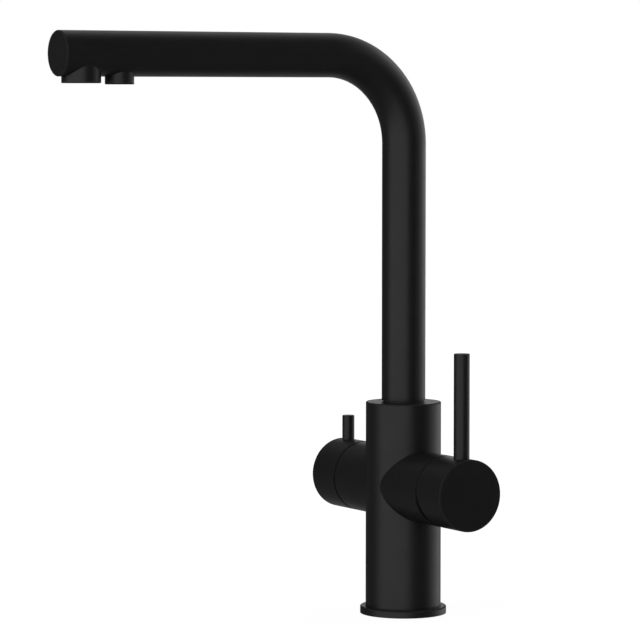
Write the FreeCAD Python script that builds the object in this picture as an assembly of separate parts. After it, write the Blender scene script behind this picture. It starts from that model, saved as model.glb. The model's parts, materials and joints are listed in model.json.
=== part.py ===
import FreeCAD, Part
import math
import os

# Three way filtered water tap: a single-lever mixer on one side of the body, a
# quarter turn filter valve on the other, and an L-shaped swivel spout that keeps
# the two waters apart up to two outlets.
# Millimetres. Origin: centre of the tap's foot, on the worktop. +Z up, the spout
# reaches along -Y, the mixer is on the +X side, the filter valve on the -X side.

# ---- Outside of the tap ------------------------------------------------------
BODY_R = 24.1
BODY_TOP = 135.7
BASE_LIP = 3.5
BASE_HEIGHT = 4.6
TUBE_R = 14.0
TUBE_WALL = 1.2
SPOUT_AXIS_Z = 356.8
BEND_R = 56.0
SPOUT_REACH = 245.0
MAIN_OUTLET_INSET = 15.8
MAIN_COLLAR_R = 12.05
MAIN_COLLAR_DROP = 4.0
OUTLET_PITCH = 25.9
FILTER_COLLAR_R = 8.95
FILTER_COLLAR_DROP = 4.7
HANDLE_Z = 83.0
BOSS_WALL = 3.65
MIXER_BOSS_LENGTH = 26.3
MIXER_CAP_LENGTH = 27.3
MIXER_ROD_R = 5.0
MIXER_ROD_TOP = 171.0
FILTER_BOSS_LENGTH = 24.5
FILTER_CAP_LENGTH = 27.6
FILTER_ROD_R = 4.0
FILTER_ROD_TOP = 121.2
ROD_SETBACK = 10.0
FILTER_ROD_SETBACK = 8.2
RIM_BEVEL = 0.4

# ---- Fits --------------------------------------------------------------------
RUNNING_FIT = 0.05
LOOSE_FIT = 0.2
CLEARANCE = 0.3
SEAT_GAP = 0.02
SLOT_FIT = 0.15
OVERCUT = 1.0

# ---- Foot and water ways in the body -----------------------------------------
FOOT_SHOULDER = 4.1
FOOT_BLOCK_HEIGHT = 18.0
FOOT_SCREW_R = 1.5
FOOT_SCREW_INSET = 4.0
FOOT_SCREW_HEAD_R = 2.75
FOOT_SCREW_HEAD_HEIGHT = 3.0
FOOT_SCREW_GRIP = 9.0
GASKET_INSET = 2.2
GASKET_WIDTH = 3.6
GASKET_THICKNESS = 1.4
PORT_OFFSET = 8.0
HOSE_THREAD_R = 4.5
HOSE_THREAD_DEPTH = 11.0
STUD_THREAD_R = 3.4
STUD_THREAD_DEPTH = 16.0
WATERWAY_R = 2.9
INLET_SEAL_WALL = 1.3
INLET_SEAL_DEPTH = 1.2
OUTLET_WAY_R = 3.2
OUTLET_RISER_X = 11.0
SEAT_INSET = 2.1
FILTER_TURN_INSET = 4.0
FILTER_WAY_FALL = 7.5
FILTER_WAY_R = 2.0
CHAMBER_HEIGHT = 10.0
RISER_SUMP = 3.5

# ---- Swivel ------------------------------------------------------------------
GLIDE_RING_HEIGHT = 1.0
GLIDE_RING_INSET = 1.0
SPIGOT_R = 10.5
SPIGOT_BORE_R = 7.2
SPIGOT_DEPTH = 31.7
SPIGOT_HEAD = 15.3
SPIGOT_HEAD_BORE_R = 9.8
SPIGOT_STEP = 2.0
SEAL_DEPTH = 1.6
SEAL_WIRE_R = 0.8
SEAL_GROOVE_WIDTH = 2.4
LOWER_SEAL_DEPTH = 26.7
UPPER_SEAL_DEPTH = 8.7
LOCK_GROOVE_DEPTH = 17.7
LOCK_GROOVE_WIDTH = 5.2
LOCK_SCREW_R = 2.5
LOCK_SCREW_LENGTH = 9.0
LOCK_TIP_R = 1.9
LOCK_TIP_LENGTH = 1.8
LOCK_TIP_CLEAR = 0.4
SOCKET_HEX_FLATS = 2.5
SOCKET_HEX_DEPTH = 2.5
HUB_R = 6.4
HUB_HEIGHT = 8.0
HUB_RECESS = 2.0
SPOKES = 3
SPOKE_WIDTH = 2.2
RISER_R = 4.4
RISER_BORE_R = 2.6
RISER_FOOT_RISE = 2.5
RISER_SEAL_DROP = 8.0
RISER_SEAL_WIRE_R = 0.6
RISER_SHOULDER_R = 5.6
RISER_SHOULDER = 2.0
NIPPLE_R = 2.45
NIPPLE_BORE_R = 1.6
NIPPLE_LENGTH = 10.0
HOSE_R = 4.0
HOSE_BORE_R = 2.5
FERRULE_WALL = 0.9
FERRULE_LENGTH = 8.0
FERRULE_INSET = 1.0

# ---- Outlets -----------------------------------------------------------------
END_CAP_THICKNESS = 2.5
END_PLUG_LENGTH = 1.6
MAIN_AERATOR_R = 9.3
MAIN_AERATOR_HEIGHT = 7.6
MAIN_NECK_R = 10.8
MAIN_LEDGE_R = 6.5
FILTER_AERATOR_R = 6.9
FILTER_AERATOR_HEIGHT = 5.2
FILTER_NECK_R = 7.9
AERATOR_WALL = 1.1
AERATOR_RECESS = 0.8
AERATOR_LIP = 0.6
GRID_THICKNESS = 1.4
GRID_PITCH = 3.3
GRID_WEB = 0.6
CORE_THICKNESS = 2.4
CORE_PEG_LENGTH = 1.6
WASHER_THICKNESS = 1.4
LEDGE_THICKNESS = 1.5
NOZZLE_R = 6.3
NOZZLE_CROWN_BEVEL = 1.5
NOZZLE_SPIGOT_R = 3.2
NOZZLE_BORE_R = 2.2
FILTER_LEDGE_THICKNESS = 4.0
NOZZLE_SEAL_WIDTH = 1.7
NOZZLE_SEAL_HEIGHT = 1.2
FILTER_WASHER_BORE_R = 4.2
JET_HOLES = 8
JET_CIRCLE_R = 5.7
JET_HOLE_R = 1.0

# ---- Mixing cartridge, from the seat in the body outwards ----------------------
CARTRIDGE_R = 17.4
CARTRIDGE_WALL = 1.6
CARTRIDGE_LIFT = 0.3
BASE_THICKNESS = 5.0
PORT_SIDE = 8.0
PORT_RISE = 3.2
OUTLET_FALL = 6.2
PORT_SEAL_WALL = 1.2
PORT_SEAL_DEPTH = 1.3
LOCATING_PIN_R = 1.9
LOCATING_PIN_SIDE = 11.5
LOCATING_PIN_FALL = 6.5
LOCATING_PIN_LENGTH = 2.2
BASE_RIM_HEIGHT = 1.0
CLIP_NOSE_RISE = 2.3
CLIP_NOSE_DEPTH = 0.5
FIXED_DISC_INSET = 1.3
FIXED_DISC_THICKNESS = 4.0
MOVING_DISC_INSET = 2.2
MOVING_DISC_THICKNESS = 3.0
RECESS_DEPTH = 1.5
RECESS_RIM = 1.9
RECESS_TOP = 0.7
INLET_SLOT_R = 2.2
INLET_SLOT_HALF = 0.9
OUTLET_SLOT_R = 2.6
OUTLET_SLOT_HALF = 2.5
PEG_R = 1.2
PEG_LENGTH = 1.2
PEG_SIDE = 6.0
CARRIER_THICKNESS = 5.7
CARRIER_HALF_WIDTH = 8.2
CARRIER_DOWN = 10.5
CARRIER_UP = 9.0
CARRIER_END_PLAY = 0.4
DISC_TRAVEL = 2.15
BALL_R = 2.4
BALL_ABOVE_DISC = 3.5
BALL_ARM = 8.2
ROTOR_ROOF = 2.6
ROTOR_NECK_R = 11.5
ROTOR_NECK_HEIGHT = 8.2
STEM_HALF = 4.0
STEM_NECK_R = 1.7
STEM_SLOT_DOWN = 6.2
STEM_SLOT_UP = 5.4
PIN_R = 1.48
PIN_HALF_LENGTH = 10.5
HOUSING_ROOF = 2.0
CLIP_WINDOW_HALF = 3.0
CLIP_WINDOW_RISE = 2.1
CLIP_WINDOW_HEIGHT = 2.1
CLIP_COUNT = 4
NUT_THREAD = 1.55
NUT_WIDTH = 5.55
NUT_THICKNESS = 4.4
NUT_NOTCH_HALF = 2.5
NUT_NOTCH_DEPTH = 2.0
NUT_NOTCHES = 6
COVER_INSET = 1.45
COVER_WALL = 1.5
COVER_HOLE_R = 10.5
COVER_FLANGE = 1.0

# ---- Handle caps -------------------------------------------------------------
CAP_WALL = 2.6
MIXER_CAP_GAP = 1.1
MIXER_CAP_CHAMFER_DEG = 14.0
MIXER_CAP_CHAMFER_TOP = 2.0
COVER_CLEARANCE = 0.5
STEM_END_INSET = 6.3
SOCKET_DEPTH = 9.0
FILTER_CAP_GAP = 0.8
FILTER_CAP_BLOCK = 18.8
ROD_SEAT_DEPTH = 4.0
ROD_THREAD_R = 3.0
ROD_THREAD_LENGTH = 10.6
FILTER_ROD_THREAD_R = 2.5
GRUB_R = 2.5
GRUB_LENGTH = 8.0
FILTER_GRUB_R = 2.0
FILTER_GRUB_SETBACK = 14.5

# ---- Filter valve, from its seat outwards --------------------------------------
VALVE_NOSE_R = 8.6
VALVE_NOSE_BORE_R = 7.2
VALVE_CHAMBER_R = 9.6
VALVE_THREAD_R = 10.4
VALVE_NOSE_START = 0.8
VALVE_SEAL_THICKNESS = 1.8
VALVE_SEAL_BORE_R = 4.6
VALVE_DISC_R = 7.1
VALVE_DISC_THICKNESS = 3.0
VALVE_PORT_R = 5.8
VALVE_HUB_R = 1.4
VALVE_PORT_DEG = 76.0
VALVE_NOSE_LENGTH = 10.7
VALVE_HEX_FLATS = 22.0
VALVE_HEX_HEIGHT = 5.0
VALVE_NECK_R = 7.0
VALVE_NECK_HEIGHT = 2.8
VALVE_SEAL_SIDE_PLAY = 0.1
WINDOW_HALF = 3.5
WINDOW_HEIGHT = 3.0
SPINDLE_R = 4.2
SPINDLE_SEAL_GROOVE_R = 3.2
SPINDLE_SEAL_WIRE_R = 0.5
SPINDLE_SEAL_WIDTH = 1.4
SPINDLE_SEAL_PITCH = 4.0
TONGUE_HALF = 2.0
TONGUE_DEPTH = 1.0
TONGUE_REACH = 6.4
CLIP_GROOVE_R = 3.6
CLIP_THICKNESS = 0.8
CLIP_R = 5.8
CLIP_OPENING_DEG = 70.0
SPLINE_R = 4.0
SPLINE_ROOT_R = 3.6
SPLINE_TEETH = 16
SPLINE_LENGTH = 8.4
SPLINE_END_PLAY = 0.5

# ---- Sizes worked out from the ones above --------------------------------------
BASE_R = BODY_R + BASE_LIP
NUT_R = CARTRIDGE_R + NUT_THREAD
HANDLE_R = NUT_R + BOSS_WALL
MIXER_BOSS_END = BODY_R + MIXER_BOSS_LENGTH
FILTER_BOSS_END = BODY_R + FILTER_BOSS_LENGTH
SEAT_X = BODY_R - SEAT_INSET
FILTER_TURN_X = SEAT_X - FILTER_TURN_INSET
FOOT_BLOCK_R = BODY_R - FOOT_SHOULDER
FOOT_SCREW_X = FOOT_BLOCK_R - FOOT_SCREW_INSET
GASKET_OUTER_R = BASE_R - GASKET_INSET
GASKET_INNER_R = GASKET_OUTER_R - GASKET_WIDTH
FILTER_WAY_Z = HANDLE_Z - FILTER_WAY_FALL
RISER_POCKET_FLOOR_Z = FILTER_WAY_Z - RISER_SUMP
RISER_BOTTOM_Z = FILTER_WAY_Z + RISER_FOOT_RISE
SPIGOT_BOTTOM_Z = BODY_TOP - SPIGOT_DEPTH
CHAMBER_FLOOR_Z = SPIGOT_BOTTOM_Z - CHAMBER_HEIGHT
RISER_SEAL_Z = CHAMBER_FLOOR_Z - RISER_SEAL_DROP
LOWER_SEAL_Z = BODY_TOP - LOWER_SEAL_DEPTH
UPPER_SEAL_Z = BODY_TOP - UPPER_SEAL_DEPTH
LOCK_GROOVE_Z = BODY_TOP - LOCK_GROOVE_DEPTH
GLIDE_RING_R = TUBE_R - GLIDE_RING_INSET

MAIN_OUTLET_REACH = SPOUT_REACH - MAIN_OUTLET_INSET
FILTER_OUTLET_REACH = MAIN_OUTLET_REACH - OUTLET_PITCH
TUBE_BORE_R = TUBE_R - TUBE_WALL
TUBE_BOTTOM_Z = BODY_TOP + GLIDE_RING_HEIGHT
BEND_START_Z = SPOUT_AXIS_Z - BEND_R
TUBE_END = SPOUT_REACH - END_CAP_THICKNESS
SWIVEL_BORE_R = SPIGOT_R + RUNNING_FIT
RISER_POCKET_R = RISER_R + RUNNING_FIT
SPIGOT_TOP_Z = TUBE_BOTTOM_Z + SPIGOT_HEAD
HUB_TOP_Z = SPIGOT_TOP_Z - HUB_RECESS
HUB_BOTTOM_Z = HUB_TOP_Z - HUB_HEIGHT
RISER_TOP_Z = HUB_TOP_Z + RISER_SHOULDER
MAIN_COLLAR_BOTTOM = SPOUT_AXIS_Z - TUBE_R - MAIN_COLLAR_DROP
FILTER_COLLAR_BOTTOM = SPOUT_AXIS_Z - TUBE_R - FILTER_COLLAR_DROP
MAIN_AERATOR_TOP = MAIN_COLLAR_BOTTOM + AERATOR_RECESS + MAIN_AERATOR_HEIGHT
MAIN_LEDGE_Z = MAIN_AERATOR_TOP + WASHER_THICKNESS
FILTER_AERATOR_TOP = FILTER_COLLAR_BOTTOM + AERATOR_RECESS + FILTER_AERATOR_HEIGHT
FILTER_LEDGE_Z = FILTER_AERATOR_TOP + WASHER_THICKNESS
FILTER_NECK_TOP = FILTER_LEDGE_Z + FILTER_LEDGE_THICKNESS
HOSE_END_REACH = FILTER_OUTLET_REACH - NOZZLE_R

PORT_Z = HANDLE_Z + PORT_RISE
OUTLET_PORT_Z = HANDLE_Z - OUTLET_FALL
BASE_START = SEAT_X + CARTRIDGE_LIFT
FIXED_DISC_START = BASE_START + BASE_THICKNESS
MOVING_DISC_START = FIXED_DISC_START + FIXED_DISC_THICKNESS
CARRIER_START = MOVING_DISC_START + MOVING_DISC_THICKNESS
CARRIER_END = CARRIER_START + CARRIER_THICKNESS
BALL_AT = CARRIER_START + BALL_ABOVE_DISC
PIVOT_AT = BALL_AT + BALL_ARM
ROTOR_START = CARRIER_START + CLEARANCE
ROTOR_POCKET_END = CARRIER_END + LOOSE_FIT
ROTOR_SHOULDER = ROTOR_POCKET_END + ROTOR_ROOF
ROTOR_END = ROTOR_SHOULDER + ROTOR_NECK_HEIGHT
HOUSING_ROOF_START = ROTOR_SHOULDER + LOOSE_FIT
HOUSING_END = HOUSING_ROOF_START + HOUSING_ROOF
HOUSING_BORE_R = CARTRIDGE_R - CARTRIDGE_WALL
FIXED_DISC_R = HOUSING_BORE_R - FIXED_DISC_INSET
MOVING_DISC_R = FIXED_DISC_R - MOVING_DISC_INSET
RECESS_R = MOVING_DISC_R - RECESS_RIM
ROTOR_R = HOUSING_BORE_R - CLEARANCE
NUT_BORE_R = NUT_R - NUT_WIDTH
COVER_R = NUT_R - COVER_INSET
CARTRIDGE_BORE_R = CARTRIDGE_R + LOOSE_FIT
NUT_THREAD_START = HOUSING_END - LOOSE_FIT
NUT_END = HOUSING_END + NUT_THICKNESS
MIXER_CAP_START = MIXER_BOSS_END + MIXER_CAP_GAP
MIXER_FACE = MIXER_CAP_START + MIXER_CAP_LENGTH
MIXER_CAP_FLOOR = PIVOT_AT + COVER_R + COVER_CLEARANCE
MIXER_ROD_AT = MIXER_FACE - ROD_SETBACK
STEM_END = MIXER_FACE - STEM_END_INSET
CAP_BORE_R = HANDLE_R - CAP_WALL
ROD_SEAT_Y = HANDLE_R - ROD_SEAT_DEPTH
ROD_THREAD_END_Y = ROD_SEAT_Y - ROD_THREAD_LENGTH

VALVE_NOSE_AT = SEAT_X + VALVE_NOSE_START
VALVE_DISC_START = SEAT_X + VALVE_SEAL_THICKNESS
VALVE_MOVING_START = VALVE_DISC_START + VALVE_DISC_THICKNESS
VALVE_MOVING_END = VALVE_MOVING_START + VALVE_DISC_THICKNESS
VALVE_CHAMBER_END = VALVE_NOSE_AT + VALVE_NOSE_LENGTH
VALVE_HEX_END = FILTER_BOSS_END + VALVE_HEX_HEIGHT
VALVE_NECK_END = VALVE_HEX_END + VALVE_NECK_HEIGHT
SPINDLE_BORE_R = SPINDLE_R + RUNNING_FIT
CLIP_AT = VALVE_NECK_END + RUNNING_FIT
SPLINE_START = CLIP_AT + CLIP_THICKNESS + CLEARANCE
SPLINE_END = SPLINE_START + SPLINE_LENGTH
FILTER_CAP_START = FILTER_BOSS_END + FILTER_CAP_GAP
FILTER_FACE = FILTER_CAP_START + FILTER_CAP_LENGTH
FILTER_CAP_FLOOR = FILTER_FACE - FILTER_CAP_BLOCK
FILTER_ROD_AT = FILTER_FACE - FILTER_ROD_SETBACK

UP = FreeCAD.Vector(0, 0, 1)
CENTRE = FreeCAD.Vector(0, 0, 0)

# A side's own frame: local Z runs outwards along the handle's axis and local Y is up.
MIXER_SIDE = FreeCAD.Matrix(0, 0, 1, 0, 1, 0, 0, 0, 0, 1, 0, HANDLE_Z, 0, 0, 0, 1)
FILTER_SIDE = FreeCAD.Matrix(0, 0, -1, 0, -1, 0, 0, 0, 0, 1, 0, HANDLE_Z, 0, 0, 0, 1)


# ---- Building blocks -----------------------------------------------------------
def bar(radius, low, high, x=0.0, y=0.0):
    """Round bar along Z from low to high."""
    return Part.makeCylinder(radius, high - low, FreeCAD.Vector(x, y, low))


def bore(radius, low, high, x=0.0, y=0.0):
    """Round bar that cuts right through from low to high."""
    return bar(radius, low - OVERCUT, high + OVERCUT, x, y)


def ring(outer, inner, low, high, x=0.0, y=0.0):
    """Round bar with a round bore."""
    return bar(outer, low, high, x, y).cut(bore(inner, low, high, x, y))


def block(x_low, x_high, y_low, y_high, z_low, z_high):
    """Box between two corners."""
    corner = FreeCAD.Vector(x_low, y_low, z_low)
    return Part.makeBox(x_high - x_low, y_high - y_low, z_high - z_low, corner)


def drilling(radius, start, end):
    """Drilled hole between two points, that runs its own radius past each of them."""
    first = FreeCAD.Vector(*start)
    way = FreeCAD.Vector(*end).sub(first)
    run_out = FreeCAD.Vector(way).normalize() * radius
    return Part.makeCylinder(radius, way.Length + 2 * radius, first.sub(run_out), way)


def beveled_bar(radius, low, high, bevel=RIM_BEVEL):
    """Round bar along Z with a bevel round its upper rim."""
    return turned([(0, low), (radius, low), (radius, high - bevel), (radius - bevel, high), (0, high)])


def turned(profile):
    """Solid turned about Z from a closed profile of (radius, height) points."""
    points = [FreeCAD.Vector(radius, 0, height) for radius, height in profile]
    face = Part.Face(Part.makePolygon(points + points[:1]))
    solid = face.revolve(CENTRE, UP, 360)
    if solid.Volume < 0:
        solid.reverse()
    return solid


def seal_ring(middle_r, wire_r, height):
    """Rubber O-ring about Z, its round section pressed into eight flats."""
    angles = [math.radians(45 * corner) for corner in range(8)]
    return turned([(middle_r + wire_r * math.cos(a), height + wire_r * math.sin(a)) for a in angles])


def hexagon(flats, low, high):
    """Hexagonal bar along Z."""
    corner_r = flats / math.sqrt(3)
    angles = [math.radians(60 * side) for side in range(6)]
    points = [FreeCAD.Vector(corner_r * math.cos(a), corner_r * math.sin(a), low) for a in angles]
    return Part.Face(Part.makePolygon(points + points[:1])).extrude(FreeCAD.Vector(0, 0, high - low))


def sector(radius, low, high, middle_deg, width_deg):
    """Pie slice of a round bar about Z."""
    slice_ = Part.makeCylinder(radius, high - low, FreeCAD.Vector(0, 0, low), UP, width_deg)
    slice_.rotate(CENTRE, UP, middle_deg - width_deg / 2)
    return slice_


def rounded_slot(radius, half_length, low, high, x, y):
    """Slot along local X with round ends."""
    middle = block(x - half_length, x + half_length, y - radius, y + radius, low, high)
    ends = [bar(radius, low, high, x + side * half_length, y) for side in (-1, 1)]
    return middle.fuse(ends)


def around(shape, count):
    """Copies of a shape at equal angles about Z."""
    copies = []
    for turn in range(count):
        copy = shape.copy()
        copy.rotate(CENTRE, UP, 360.0 * turn / count)
        copies.append(copy)
    return copies


def on_side(side, shape):
    """Move a shape from a side's own frame to the tap's frame."""
    return shape.transformed(side, True)


def at_outlet(reach, shape):
    """Move a shape drawn about Z out along the spout."""
    moved = shape.copy()
    moved.translate(FreeCAD.Vector(0, -reach, 0))
    return moved


def along_spout(radius, near, far):
    """Round bar on the spout's axis between two reaches."""
    start = FreeCAD.Vector(0, -near, SPOUT_AXIS_Z)
    return Part.makeCylinder(radius, far - near, start, FreeCAD.Vector(0, -1, 0))


def bent_bar(radius, low, reach):
    """Round bar that rises from low, turns through the bend and runs out to a reach."""
    upright = bar(radius, low, BEND_START_Z)
    section = Part.Face(Part.Wire(Part.makeCircle(radius, FreeCAD.Vector(0, 0, BEND_START_Z), UP)))
    bend_centre = FreeCAD.Vector(0, -BEND_R, BEND_START_Z)
    bend = section.revolve(bend_centre, FreeCAD.Vector(1, 0, 0), 90)
    arm = along_spout(radius, BEND_R, reach)
    return upright.fuse([bend, arm]).removeSplitter()


# ---- Body and foot -------------------------------------------------------------
def side_boss(side, length):
    """Solid boss for one handle, out from the body's axis."""
    return on_side(side, beveled_bar(HANDLE_R, 0, length))


def cartridge_cavity():
    """Bore for the mixing cartridge with the nut's thread at its mouth."""
    barrel = bar(CARTRIDGE_BORE_R, SEAT_X, NUT_THREAD_START + OVERCUT)
    mouth = bar(NUT_R + RUNNING_FIT, NUT_THREAD_START, MIXER_BOSS_END + OVERCUT)
    pin_floor = SEAT_X - LOCATING_PIN_LENGTH - CARTRIDGE_LIFT
    pins = [bar(LOCATING_PIN_R + SLOT_FIT, pin_floor, SEAT_X + OVERCUT, sign * LOCATING_PIN_SIDE,
                -LOCATING_PIN_FALL) for sign in (-1, 1)]
    return on_side(MIXER_SIDE, barrel.fuse([mouth] + pins))


def valve_cavity():
    """Chamber and thread for the filter valve."""
    chamber = bar(VALVE_CHAMBER_R, SEAT_X, VALVE_CHAMBER_END + OVERCUT)
    thread = bar(VALVE_THREAD_R + RUNNING_FIT, VALVE_CHAMBER_END, FILTER_BOSS_END + OVERCUT)
    return on_side(FILTER_SIDE, chamber.fuse(thread))


def inlet_places():
    """Places of the hot, cold and filtered water's inlets in the foot."""
    return [(PORT_OFFSET, PORT_OFFSET), (PORT_OFFSET, -PORT_OFFSET), (-PORT_OFFSET, PORT_OFFSET)]


def supply_way(y):
    """Hot or cold water: up from the foot block, then across to the cartridge's seat."""
    up = drilling(WATERWAY_R, (PORT_OFFSET, y, FOOT_BLOCK_HEIGHT), (PORT_OFFSET, y, PORT_Z))
    across = drilling(WATERWAY_R, (PORT_OFFSET, y, PORT_Z), (SEAT_X, y, PORT_Z))
    return up.fuse(across)


def mixed_way():
    """Mixed water: back from the cartridge and up into the swivel chamber."""
    back = drilling(OUTLET_WAY_R, (OUTLET_RISER_X, 0, OUTLET_PORT_Z), (SEAT_X, 0, OUTLET_PORT_Z))
    up = drilling(OUTLET_WAY_R, (OUTLET_RISER_X, 0, OUTLET_PORT_Z),
                  (OUTLET_RISER_X, 0, SPIGOT_BOTTOM_Z - OUTLET_WAY_R))
    return back.fuse(up)


def filtered_way():
    """Filtered water: to the valve's seat, and from its chamber to the riser's pocket."""
    up = drilling(WATERWAY_R, (-PORT_OFFSET, PORT_OFFSET, FOOT_BLOCK_HEIGHT),
                  (-PORT_OFFSET, PORT_OFFSET, HANDLE_Z))
    across = drilling(WATERWAY_R, (-PORT_OFFSET, PORT_OFFSET, HANDLE_Z), (-FILTER_TURN_X, 0, HANDLE_Z))
    seat_hole = drilling(WATERWAY_R, (-FILTER_TURN_X, 0, HANDLE_Z), (-SEAT_X, 0, HANDLE_Z))
    back = drilling(FILTER_WAY_R, (-SEAT_X, 0, FILTER_WAY_Z), (0, 0, FILTER_WAY_Z))
    return up.fuse([across, seat_hole, back])


def lock_screw_hole():
    """Threaded hole for the spout's lock screw, in the back of the body."""
    inner = FreeCAD.Vector(0, SPIGOT_R / 2, LOCK_GROOVE_Z)
    return Part.makeCylinder(LOCK_SCREW_R + SEAT_GAP, BODY_R, inner, FreeCAD.Vector(0, 1, 0))


def main_body():
    """One casting on the foot block: column, two bosses, water ways and swivel bore."""
    casting = beveled_bar(BODY_R, FOOT_BLOCK_HEIGHT, BODY_TOP)
    casting = casting.fuse([side_boss(MIXER_SIDE, MIXER_BOSS_END), side_boss(FILTER_SIDE, FILTER_BOSS_END)])
    swivel_bore = bar(SWIVEL_BORE_R, CHAMBER_FLOOR_Z, BODY_TOP + OVERCUT)
    pocket = bar(RISER_POCKET_R, RISER_POCKET_FLOOR_Z, CHAMBER_FLOOR_Z + OVERCUT)
    hollows = [swivel_bore, pocket, cartridge_cavity(), valve_cavity(), supply_way(PORT_OFFSET),
               supply_way(-PORT_OFFSET), mixed_way(), filtered_way(), lock_screw_hole()]
    hollows += [bar(FOOT_SCREW_R + SEAT_GAP, 0, FOOT_BLOCK_HEIGHT + FOOT_SCREW_GRIP + CLEARANCE, x)
                for x in foot_screw_places()]
    for hollow in hollows:
        casting = casting.cut(hollow)
    return casting.removeSplitter()


def foot_screw_places():
    """Places along X of the two screws that hold the foot block under the body."""
    return [-FOOT_SCREW_X, FOOT_SCREW_X]


def foot_block():
    """Foot of the column on a spigot through the foot plate, threaded for three hoses and the stud."""
    foot = bar(FOOT_BLOCK_R, 0, BASE_HEIGHT).fuse(bar(BODY_R, BASE_HEIGHT, FOOT_BLOCK_HEIGHT))
    foot = foot.cut(bar(STUD_THREAD_R, -OVERCUT, STUD_THREAD_DEPTH, -PORT_OFFSET, -PORT_OFFSET))
    for x in foot_screw_places():
        foot = foot.cut(bore(FOOT_SCREW_R + RUNNING_FIT, 0, FOOT_BLOCK_HEIGHT, x))
        foot = foot.cut(bar(FOOT_SCREW_HEAD_R + RUNNING_FIT, -OVERCUT, FOOT_SCREW_HEAD_HEIGHT + CLEARANCE, x))
    for x, y in inlet_places():
        foot = foot.cut(bar(HOSE_THREAD_R, -OVERCUT, HOSE_THREAD_DEPTH, x, y))
        foot = foot.cut(bore(WATERWAY_R, 0, FOOT_BLOCK_HEIGHT, x, y))
        seal_pocket = bar(WATERWAY_R + INLET_SEAL_WALL + RUNNING_FIT,
                          FOOT_BLOCK_HEIGHT - INLET_SEAL_DEPTH, FOOT_BLOCK_HEIGHT + OVERCUT, x, y)
        foot = foot.cut(seal_pocket)
    return foot


def foot_screws():
    """Two socket head screws, up through the foot block into the body."""
    screws = []
    for x in foot_screw_places():
        head_top = FOOT_SCREW_HEAD_HEIGHT + CLEARANCE
        screw = bar(FOOT_SCREW_HEAD_R, CLEARANCE, head_top, x)
        screw = screw.fuse(bar(FOOT_SCREW_R, head_top, FOOT_BLOCK_HEIGHT + FOOT_SCREW_GRIP, x))
        socket = hexagon(SOCKET_HEX_FLATS, CLEARANCE - OVERCUT, SOCKET_HEX_DEPTH)
        socket.translate(FreeCAD.Vector(x, 0, 0))
        screws.append(screw.cut(socket))
    return Part.Compound(screws)


def inlet_seals():
    """Rubber ring round each water way, between the foot block and the body."""
    outer = WATERWAY_R + INLET_SEAL_WALL
    low = FOOT_BLOCK_HEIGHT - INLET_SEAL_DEPTH
    return Part.Compound([ring(outer, WATERWAY_R, low, FOOT_BLOCK_HEIGHT, x, y) for x, y in inlet_places()])


def base_flange():
    """Round foot plate around the foot block, with a groove for its gasket."""
    plate = beveled_bar(BASE_R, 0, BASE_HEIGHT).cut(bore(FOOT_BLOCK_R + RUNNING_FIT, 0, BASE_HEIGHT))
    groove = ring(GASKET_OUTER_R + RUNNING_FIT, GASKET_INNER_R - RUNNING_FIT,
                  -OVERCUT, GASKET_THICKNESS + SEAT_GAP)
    return plate.cut(groove)


def base_gasket():
    """Flat rubber ring in the foot plate's groove, level with its underside."""
    return ring(GASKET_OUTER_R, GASKET_INNER_R, 0, GASKET_THICKNESS)


def glide_ring():
    """Plastic ring between the body's top and the turning spout."""
    return ring(GLIDE_RING_R, SPIGOT_R + CLEARANCE, BODY_TOP, TUBE_BOTTOM_Z - RUNNING_FIT)


def spout_lock_screw():
    """Headless screw whose tip runs in the spigot's groove and keeps the spout down."""
    tip_start = SPIGOT_R - SEAL_DEPTH + LOCK_TIP_CLEAR
    body_start = tip_start + LOCK_TIP_LENGTH
    head = body_start + LOCK_SCREW_LENGTH
    screw = bar(LOCK_TIP_R, tip_start, body_start).fuse(bar(LOCK_SCREW_R, body_start, head))
    screw = screw.cut(hexagon(SOCKET_HEX_FLATS, head - SOCKET_HEX_DEPTH, head + OVERCUT))
    screw.rotate(CENTRE, FreeCAD.Vector(1, 0, 0), -90)
    screw.translate(FreeCAD.Vector(0, 0, LOCK_GROOVE_Z))
    return screw


# ---- Spout and swivel ------------------------------------------------------------
def spout_tube():
    """L-shaped tube with two holes below its end for the outlet necks."""
    tube = bent_bar(TUBE_R, TUBE_BOTTOM_Z, TUBE_END)
    tube = tube.cut(bent_bar(TUBE_BORE_R, TUBE_BOTTOM_Z, TUBE_END))
    holes = [(MAIN_OUTLET_REACH, MAIN_NECK_R), (FILTER_OUTLET_REACH, FILTER_NECK_R)]
    for reach, neck_r in holes:
        drill = bar(neck_r + SEAT_GAP, SPOUT_AXIS_Z - 2 * TUBE_R, SPOUT_AXIS_Z)
        tube = tube.cut(at_outlet(reach, drill))
    return tube


def spout_end_cap():
    """Flat disc that closes the tube, with a short plug inside it."""
    plug = ring(TUBE_BORE_R - RUNNING_FIT, TUBE_BORE_R - TUBE_WALL, -END_PLUG_LENGTH, 0)
    cap = beveled_bar(TUBE_R, 0, END_CAP_THICKNESS).fuse(plug)
    cap.rotate(CENTRE, FreeCAD.Vector(1, 0, 0), 90)
    cap.translate(FreeCAD.Vector(0, -TUBE_END, SPOUT_AXIS_Z))
    return cap


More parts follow.
